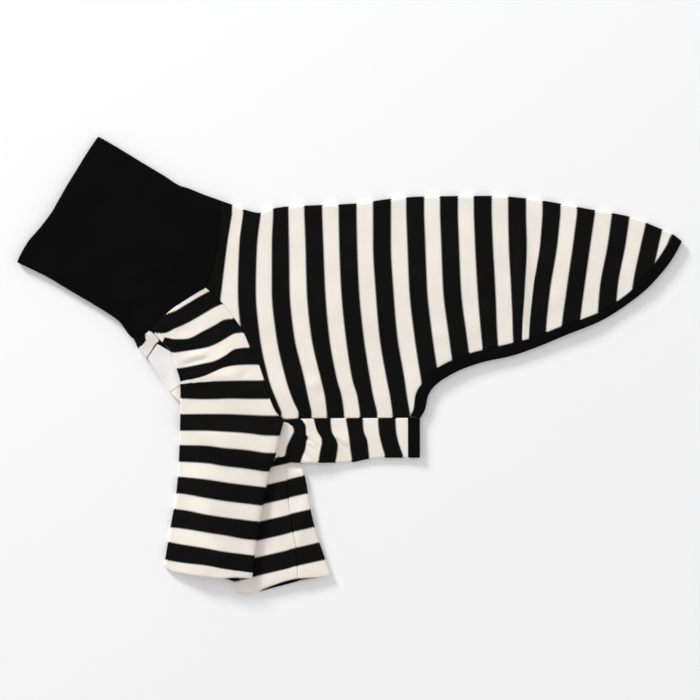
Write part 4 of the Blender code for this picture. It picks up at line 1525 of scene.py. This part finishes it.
@dataclass(frozen=True)
class Sleeve:
    """A raglan front leg sleeve: turned in at the front, and a tube below the armpit."""

    finish: StripedJersey
    side: Side
    finer: int = 4
    columns: tuple[int, int] = (48, 34)
    seam_roll: float = 0.55
    seam_tail: float = 0.2
    hem_radius: float = 0.5
    hem_rows: int = 6
    near_cuff_lift: float = 0.8
    far_cuff_lift: float = 0.4
    cuff_run: float = 26.0
    cuff_arch: tuple[float, float] = (0.12, 0.76)
    cuff_rows: int = 7
    underarm_share: float = 0.22
    far_stripe_slope: float = -0.232
    far_stripe_pitch: float = 28.1
    far_stripe_jog: float = 0.5
    far_stripe_reach: float = 90.0
    jog_knots: tuple[float, ...] = (-4, -1, 1, 4)
    far_black: float = 14.4
    far_first_black: Point = Point(-51.5, -35.2)
    far_blacks: int = 5

    @property
    def near(self) -> bool:
        """Whether this is the sleeve on top."""
        return self.side is Side.NEAR

    @property
    def lead(self) -> Trace:
        """Its leading fold."""
        return CUT.near_lead if self.near else CUT.far_lead

    @property
    def right(self) -> Trace:
        """Its fold on the tail side."""
        return CUT.near_right if self.near else CUT.far_right

    def stripes(self) -> Stripes:
        """The sleeve's stripes, from the neck down."""
        edges = [Glide(SHOULDER_LEVELS, line) for line in SHOULDER_STRIPES]
        if self.near:
            edges += [Glide(TUBE_LEVELS, line) for line in NEAR_STRIPES]
            edges.append(along_x(NEAR_LIP))
        else:
            seam_x, x = CUT.far_underarm[2].x, self.far_first_black.x
            beside = [seam_x + way for way in self.jog_knots]
            knots = [x - self.far_stripe_reach, *beside, x + self.far_stripe_reach]
            for k in range(self.far_blacks):
                top = self.far_first_black.y - k * self.far_stripe_pitch
                for y in (top, top - self.far_black):
                    rises = [y - self.far_stripe_slope * (knot - x) for knot in knots]
                    rises[3:] = [rise + self.far_stripe_jog for rise in rises[3:]]
                    edges.append(Glide(knots, rises))
            edges.append(along_x(FAR_LIP))
        return Stripes(tuple(edges), downwards=True, starts_black=False)

    def shaped_cuff(self, ring: Grid) -> Grid:
        """A tube's rows with the last ones drawn out to the cuff's uneven edge.

        Args:
            ring: The tube's rows, from the armpit down.

        Returns:
            The rows.
        """
        points = NEAR_CUFF if self.near else FAR_CUFF
        shares, upper, lower = (np.array(values) for values in zip(*points))
        outer, inner = (upper, lower) if self.near else (lower, upper)
        first_wall = self.columns[0] + FOLD_STEPS
        places = ring[-1, :, :2]
        way = places[self.columns[0]] - places[0]
        across = (places - places[0]) @ way / (way @ way)
        reach = np.concatenate([
            np.interp(across[:first_wall], shares, outer),
            np.interp(across[first_wall:], shares, inner),
        ])
        shaped = ring.copy()
        along = ring[-1] - ring[-2]
        along[:, 2] = 0.0
        for k in range(self.cuff_rows):
            shaped[-1 - k] += unit(along) * reach[:, None] * (1 - k / self.cuff_rows)
        return shaped

    def heights(self) -> tuple[Height, Height]:
        """The outer and inner walls' heights."""
        outer, inner = (
            (LAY.sleeve_over, LAY.sleeve_under) if self.near
            else (LAY.on_floor, LAY.far_sleeve_inner)
        )
        cuff = np.array((self.lead[-1], self.right[-1]), float)
        length = np.linalg.norm(cuff[1] - cuff[0])
        along = (cuff[1] - cuff[0]) / length
        up_sleeve = np.array((-along[1], along[0]))
        lift = self.near_cuff_lift if self.near else self.far_cuff_lift

        def opened(places: Places) -> np.ndarray:
            """How far the cuff's upper wall stands open."""
            off = places - cuff[0]
            from_cuff = off @ up_sleeve
            share = np.clip(off @ along / length, 0.0, 1.0)
            across = np.sin(math.pi * (self.cuff_arch[0] + self.cuff_arch[1] * share))
            return lift * ease(1 - from_cuff / self.cuff_run) * across

        if self.near:
            return (lambda places: outer(places) + opened(places)), inner
        return outer, (lambda places: inner(places) + opened(places))

    def build(self) -> Object:
        """Build the sleeve.

        Returns:
            The piece.
        """
        back_edge, underarm = along_x(CUT.back_edge), along_y(CUT.far_underarm)
        lead, right = along_y(self.lead), along_y(self.right)
        outer, inner = self.heights()
        inset = JERSEY_WALL / 2 + self.seam_roll if self.near else 0.05
        count_out, count_in = self.columns
        shoulder = []
        for row in spread_rows(SHOULDER_SECTIONS, self.finer):
            seam = on_x(back_edge, row.back_x, -inset)
            front = np.array((row.front_x, row.front_y))
            over = arc_between(seam, on_y(lead, row.lead_y), row.bow)
            fold = fold_middle(over, outer, inner, JERSEY_WALL)
            under = arc_between(over(fold)[0], front, 0.0)
            shoulder.append(np.concatenate([
                layer(over, 0.0, fold, count_out, outer),
                half_turn(over, fold, outer, inner),
                layer(under, 0.0, 1.0, count_in, inner),
            ]))
        sections = NEAR_TUBE_SECTIONS if self.near else FAR_TUBE_SECTIONS
        tube = []
        for row in spread_rows(sections, self.finer):
            route = arc_between(on_y(right, row.right_y), on_y(lead, row.lead_y), row.bow)
            seam_y = row.right_y + (row.lead_y - row.right_y) * self.underarm_share
            seam = None if self.near else Point(float(underarm(seam_y)), seam_y)
            tube.append(tube_row(route, outer, inner, self.columns, JERSEY_WALL, seam))
        ring = self.shaped_cuff(np.stack(tube))
        shared = ring[0, : shoulder[0].shape[0]]
        top = np.stack([*shoulder, shared])
        stripes = self.stripes()
        cloth = Cloth(f"{self.side.value}_sleeve_cloth")
        fold_column = count_out
        if self.near:
            normals = outward_normals(top, False)
            roll = rolled_columns(top, normals, self.seam_roll, QUARTER_TURN, self.seam_tail)
            top = np.concatenate([roll, top], axis=1)
            fold_column += roll.shape[1]
        cloth.add(top, knit_marks(top, stripes, fold_column))
        normals = outward_normals(ring, True)
        if not self.near:
            normals = -normals
        hem = turned_hem(ring, normals, self.hem_radius, self.hem_rows)
        ring = np.concatenate([ring, hem])
        cloth.add(ring, knit_marks(ring, stripes, count_out, closed=True), closed=True)
        piece = cloth.finish(JERSEY_WALL, self.finish.material())
        return piece


@dataclass(frozen=True)
class DoubledKnit:
    """Two layers of black knit, folded at the free edge and sewn on at the other."""

    finish: BlackRib
    wall: float = 1.8
    layer_wall: float = 0.8
    layer_gap: float = 0.15
    seam_roll: float = 0.5
    seam_tail: float = 0.2

    @property
    def apart(self) -> float:
        """Half the way between the layers' middle surfaces."""
        return (self.layer_wall + self.layer_gap) / 2

    def doubled(self, middle: Grid, normals: Grid) -> Grid:
        """Both layers, in one run of rows from the seam out and back.

        Args:
            middle: The surface between the layers, whose rows lie along the seam.
            normals: Its outward normals.

        Returns:
            The rows of the roll at the seam, the outer layer, the fold and the lining.
        """
        outer = middle + normals * self.apart
        flank, up = swapped(outer), swapped(normals)
        seam = swapped(rolled_columns(flank, up, self.seam_roll, QUARTER_TURN, self.seam_tail))
        lining = turned_hem(outer, normals, self.apart, len(outer))
        return np.concatenate([seam, outer, lining])


@dataclass(frozen=True)
class Collar(DoubledKnit):
    """The turtleneck: one tube of rib, doubled, with its fold at the free edge."""

    free_edge: Trace = traced(
        (0, 0), (0.13, 0.35), (0.26, 0), (0.39, -0.4), (0.52, -1.3), (0.58, -1.75), (0.65, -1.4),
        (0.71, -0.8), (0.77, 0.2), (0.84, 1.4), (0.9, 1.3), (1, 0),
    )
    rows: int = 46
    crowding: float = 1.15
    columns: tuple[int, int] = (70, 52)
    wall: float = LAY.collar_wall
    layer_wall: float = 1.0
    layer_gap: float = 0.1
    seam_roll: float = 0.7
    seam_tail: float = 0.25
    seam_gap: float = 0.05
    seam_side: Point = Point(-0.85, 0.52)
    span_ends: tuple[float, ...] = (0.0, 0.5, 0.8, 1.0)
    girth: float = 0.25

    def neck(self) -> Route:
        """The whole neck seam from nape to throat."""
        arcs = [arc_between(np.array(a), np.array(b), bow) for a, b, bow in CUT.neck_spans]
        limits = self.span_ends

        def route(s: np.ndarray) -> Places:
            """The seam's places at shares of its length."""
            s = np.atleast_1d(np.asarray(s, float))
            places = np.empty((len(s), 2))
            for k, arc in enumerate(arcs):
                within = (s >= limits[k] - TINY) & (s <= limits[k + 1] + TINY)
                share = (s - limits[k]) / (limits[k + 1] - limits[k])
                share = 1 - share if k == 0 else share
                places[within] = arc(share[within])
            return places + np.array(self.seam_side) * self.seam_gap

        return route

    def build(self) -> Object:
        """Build the collar.

        Returns:
            The piece.
        """
        neck = self.neck()
        nape_side, throat_side = along_x(CUT.collar_nape_side), along_x(CUT.collar_throat_side)
        corner_top, corner_low = CUT.collar_nape_side[0], CUT.collar_throat_side[0]
        bulge = along_x(self.free_edge)
        free_way = np.array(corner_low, float) - np.array(corner_top, float)
        free_out = np.array((free_way[1], -free_way[0])) / np.linalg.norm(free_way)
        ends = neck((0.0, 1.0))
        rows = []
        for v in 1 - (1 - np.linspace(0.0, 1.0, self.rows + 1)) ** self.crowding:
            top_x = corner_top.x + (ends[0, 0] - corner_top.x) * v
            low_x = corner_low.x + (ends[1, 0] - corner_low.x) * v
            top = np.array((top_x, float(nape_side(top_x))))
            low = np.array((low_x, float(throat_side(low_x))))

            def route(
                s: np.ndarray, v: float = v, top: np.ndarray = top, low: np.ndarray = low
            ) -> Places:
                """A line across the collar, between its free edge and the neck seam."""
                s = np.atleast_1d(np.asarray(s, float))
                share = s[:, None]
                across = top + (low - top) * share
                free_bulge = bulge(s)[:, None] * free_out
                neck_bulge = neck(s) - (neck(0.0) + (neck(1.0) - neck(0.0)) * share)
                return across + free_bulge * (1 - v) + neck_bulge * v

            heights = LAY.collar_over, LAY.collar_on_floor
            rows.append(tube_row(route, *heights, self.columns, self.wall))
        middle = np.stack(rows)
        grid = self.doubled(middle[::-1], outward_normals(middle, True)[::-1])
        ring = np.concatenate([grid, grid[:, :1]], axis=1)
        around = np.linspace(0.0, self.girth, ring.shape[1])
        along = lengths_along(ring.mean(1)) * MM
        knit = np.stack(np.meshgrid(around, along), axis=2)
        cloth = Cloth("collar_cloth").add(grid, knit, closed=True)
        piece = cloth.finish(self.layer_wall, self.finish.material())
        return piece


class BandSection(NamedTuple):
    """A section across the hem's band, from its seam to its outer edge."""

    inner_x: float
    outer_x: float


@dataclass(frozen=True)
class Band(DoubledKnit):
    """A doubled black band on a cut edge."""

    def level_with(self, cloth: Height) -> Height:
        """The band's upper half, level with the cloth that it is sewn to."""
        return lambda places: cloth(places) + (self.wall - LAY.solid_wall) / 2

    def on_floor(self, places: Places) -> np.ndarray:
        """The band's lower half."""
        return np.full(len(places), self.wall / 2)

    def sewn(self, name: str, middle: Grid) -> Object:
        """Make the band's cloth.

        Args:
            name: The piece's name.
            middle: The surface between its layers, whose rows run along the band.

        Returns:
            The piece.
        """
        grid = swapped(self.doubled(middle, outward_normals(middle, False)))
        cloth = Cloth(name).add(grid, band_marks(grid))
        return cloth.finish(self.layer_wall, self.finish.material())


@dataclass(frozen=True)
class HemBand(Band):
    """The doubled black band round the back panel's hem and the tail tip."""

    sections: tuple[BandSection, ...] = table(BandSection,
        (48.6, 56.5), (51.5, 60.3), (53, 62.5), (55.2, 64.8), (58, 67.3), (63.5, 70.8), (71, 76),
        (79, 83), (87, 90.5), (95.5, 98.5), (107.5, 110), (119.5, 122), (131.5, 134.5),
        (144, 147.5), (157.5, 161.5), (171, 174), (184.5, 187), (198.5, 200.5), (206, 208.5),
        (213, 216), (220, 223.5), (227, 231), (235, 240.5), (243, 249.5), (249.5, 257),
        (254.5, 262.5),
    )
    tip: BandSection = BandSection(258.3, 265.5)
    finer: int = 4
    columns: int = 6
    fullness: float = 0.45

    def across(self, section: BandSection, inset: float) -> Route:
        """The line across the band at a section."""
        inner = on_x(along_x(CUT.back_edge), section.inner_x, -inset)
        outer = on_x(along_x(CUT.band_edge), section.outer_x, -self.fullness)
        return arc_between(inner, outer, 0.0)

    def build(self) -> Object:
        """Build the band.

        Returns:
            The piece.
        """
        inset = self.layer_wall / 2 + self.seam_roll
        sections = spread_rows(self.sections, self.finer)
        routes = [self.across(section, inset) for section in sections]
        over, under = self.level_with(LAY.back_over), self.on_floor
        widths = np.array([np.linalg.norm(route(1.0) - route(0.0)) for route in routes])
        ends = 1 - (self.apart + self.layer_wall / 2) / widths
        upper = [layer(r, 0.0, end, self.columns, over) for r, end in zip(routes, ends)]
        lower = [layer(r, 0.0, end, self.columns, under) for r, end in zip(routes, ends)]
        tip = self.across(self.tip, inset)
        turned = []
        for s in np.linspace(0.0, ends[-1], self.columns + 1):
            run = arc_between(routes[-1](s)[0], tip(s)[0], 0.0)
            fold = fold_middle(run, over, under, self.wall)
            turned.append(np.concatenate([
                layer(run, fold, fold, 0, over),
                half_turn(run, fold, over, under),
                layer(run, fold, fold, 0, under),
            ]))
        halves = swapped(np.stack(upper)), swapped(np.stack(lower[::-1]))
        middle = np.concatenate([halves[0], np.stack(turned), halves[1]], axis=1)
        piece = self.sewn("hem_band", middle)
        return piece


def band_marks(grid: Grid) -> np.ndarray:
    """A band's own coordinates on its grid.

    Args:
        grid: The band's points, whose rows run across it.

    Returns:
        Metres along the band and metres across it, for each point.
    """
    along = lengths_along(grid[:, grid.shape[1] // 4])
    across = lengths_along(grid)
    return np.stack([np.broadcast_to(along[:, None], across.shape), across], axis=2) * MM


@dataclass(frozen=True)
class BellyBand(Band):
    """The doubled black band on the belly's rear edge."""

    left: float = 47.2
    right: float = 56.3
    rows: int = 8
    columns: tuple[int, int] = (16, 16)
    seam_gap: float = -0.1
    seam_overlap: float = 0.3

    def build(self) -> Object:
        """Build the band.

        Returns:
            The piece.
        """
        chest_fold = along_x(CUT.chest_fold)
        top_y = CUT.side_seam[1].y - self.seam_gap
        first = self.left + self.layer_wall / 2 + self.seam_roll - self.seam_overlap
        last = self.right - self.apart - self.layer_wall / 2
        heights = self.level_with(LAY.chest_over), self.on_floor
        rows = []
        for x in np.linspace(first, last, self.rows + 1):
            route = arc_between(np.array((x, top_y)), on_x(chest_fold, x), 0.0)
            rows.append(folded_row(route, *heights, self.columns, self.wall))
        piece = self.sewn("belly_band", np.stack(rows))
        return piece


class LabelSection(NamedTuple):
    """A section of the label, from the chest's fold to the sleeve's leading fold."""

    outer_x: float
    outer_y: float
    inner_x: float
    inner_y: float


@dataclass(frozen=True)
class WovenLabel:
    """The woven label on the chest beside the front seam, blank."""

    finish: WovenTape
    sections: tuple[LabelSection, ...] = table(LabelSection,
        (-161.6, 6.6, -153.6, 18), (-156.8, -1, -147.5, 14.5), (-151.6, -9, -141.2, 10.2),
        (-147.4, -15.2, -137.2, -0.8), (-144, -20.3, -134.4, -13.8),
    )
    finer: int = 5
    columns: int = 12
    wall: float = 0.4
    lift: float = 0.67

    def build(self) -> Object:
        """Build the label.

        Returns:
            The piece.
        """
        rows = []
        for row in spread_rows(self.sections, self.finer):
            route = arc_between(np.array(row[:2]), np.array(row[2:]), 0.0)
            rows.append(
                layer(route, 0.0, 1.0, self.columns, lambda p: LAY.chest_over(p) + self.lift)
            )
        grid = np.stack(rows)
        cloth = Cloth("label_cloth").add(grid, band_marks(grid))
        piece = cloth.finish(self.wall, self.finish.material())
        return piece


# ---- Studio ----

class Lamp(NamedTuple):
    """A round soft lamp that faces the shirt, with its turn and height in degrees."""

    name: str
    turn: float
    height: float
    distance: float
    size: float
    power: float


@dataclass(frozen=True)
class Studio:
    """A pale floor, soft light from the upper left, and a camera straight above."""

    view_middle: Point = Point(0.0, 12.3)
    view_width: float = 560.0
    camera_height: float = 4.0
    sensor: float = 36.0
    floor_size: float = 6.0
    floor_level: float = -0.0001
    farthest: float = 20.0
    sky: float = 0.70
    lamps: tuple[Lamp, ...] = (
        Lamp("key", turn=128.0, height=18.0, distance=4.3, size=0.95, power=183.0),
        Lamp("fill", turn=15.0, height=28.0, distance=5.0, size=2.6, power=16.0),
    )

    def build_camera(self) -> Object:
        """Set up the camera."""
        data = bpy.data.cameras.new("camera")
        data.sensor_width = self.sensor
        data.lens = self.sensor * self.camera_height / (self.view_width * MM)
        data.clip_end = self.farthest
        camera = placed("camera", data)
        camera.location = (self.view_middle.x * MM, self.view_middle.y * MM, self.camera_height)
        bpy.context.scene.camera = camera
        return camera

    def build_light(self) -> None:
        """Set up the soft light and the bright surroundings."""
        for lamp in self.lamps:
            data = bpy.data.lights.new(lamp.name, "AREA")
            data.shape, data.size, data.energy = "DISK", lamp.size, lamp.power
            turn, height = math.radians(lamp.turn), math.radians(lamp.height)
            flat = lamp.distance * math.cos(height)
            place = Vector(
                (flat * math.cos(turn), flat * math.sin(turn), lamp.distance * math.sin(height))
            )
            light = placed(lamp.name, data)
            light.location = place
            light.rotation_mode = "QUATERNION"
            light.rotation_quaternion = place.to_track_quat("Z", "Y")
            light.visible_camera = False
        world = bpy.data.worlds.new("surroundings")
        world.use_nodes = True
        world.node_tree.nodes["Background"].inputs["Color"].default_value = rgb(1.0, 1.0, 1.0)
        world.node_tree.nodes["Background"].inputs["Strength"].default_value = self.sky
        bpy.context.scene.world = world
        bpy.context.scene.view_settings.view_transform = "Standard"

    def build_floor(self) -> Object:
        """Lay the floor just under the shirt."""
        bpy.ops.object.select_all(action="DESELECT")
        bpy.ops.mesh.primitive_plane_add(size=self.floor_size, location=(0, 0, self.floor_level))
        bpy.ops.object.transform_apply(location=True)
        floor = bpy.context.object
        floor.name = "pale_floor"
        floor.data.materials.append(PaleFloor().material())
        return floor


def main() -> None:
    """Build the studio and the shirt, and note each piece's face count."""
    logging.basicConfig(level=logging.INFO, format="%(name)s: %(message)s")
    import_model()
    studio = Studio()
    studio.build_camera()
    studio.build_light()
    studio.build_floor()
    jersey = StripedJersey()
    binding = BlackRib("black_binding", rib=1.2, run=RibRun.ACROSS_COURSES)
    pieces = (
        (Collar(BlackRib("black_rib", rib=1.6)), "collar", "black_rib"),
        (BackPanel(jersey), "back_panel", "striped_jersey"),
        (ChestPanel(jersey), "chest_panel", "striped_jersey"),
        (Sleeve(jersey, Side.NEAR), "near_sleeve", "striped_jersey"),
        (Sleeve(jersey, Side.FAR), "far_sleeve", "striped_jersey"),
        (HemBand(binding), "hem_binding", "black_binding"),
        (BellyBand(binding), "belly_binding", "black_binding"),
        (WovenLabel(WovenTape()), "label", "woven_label"),
    )
    for maker, node, slot in pieces:
        piece = maker.build()
        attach(piece, "root")
        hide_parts(node)
        LOG.info("%s: %d faces", piece.name, len(piece.data.polygons))


if __name__ == "__main__":
    main()
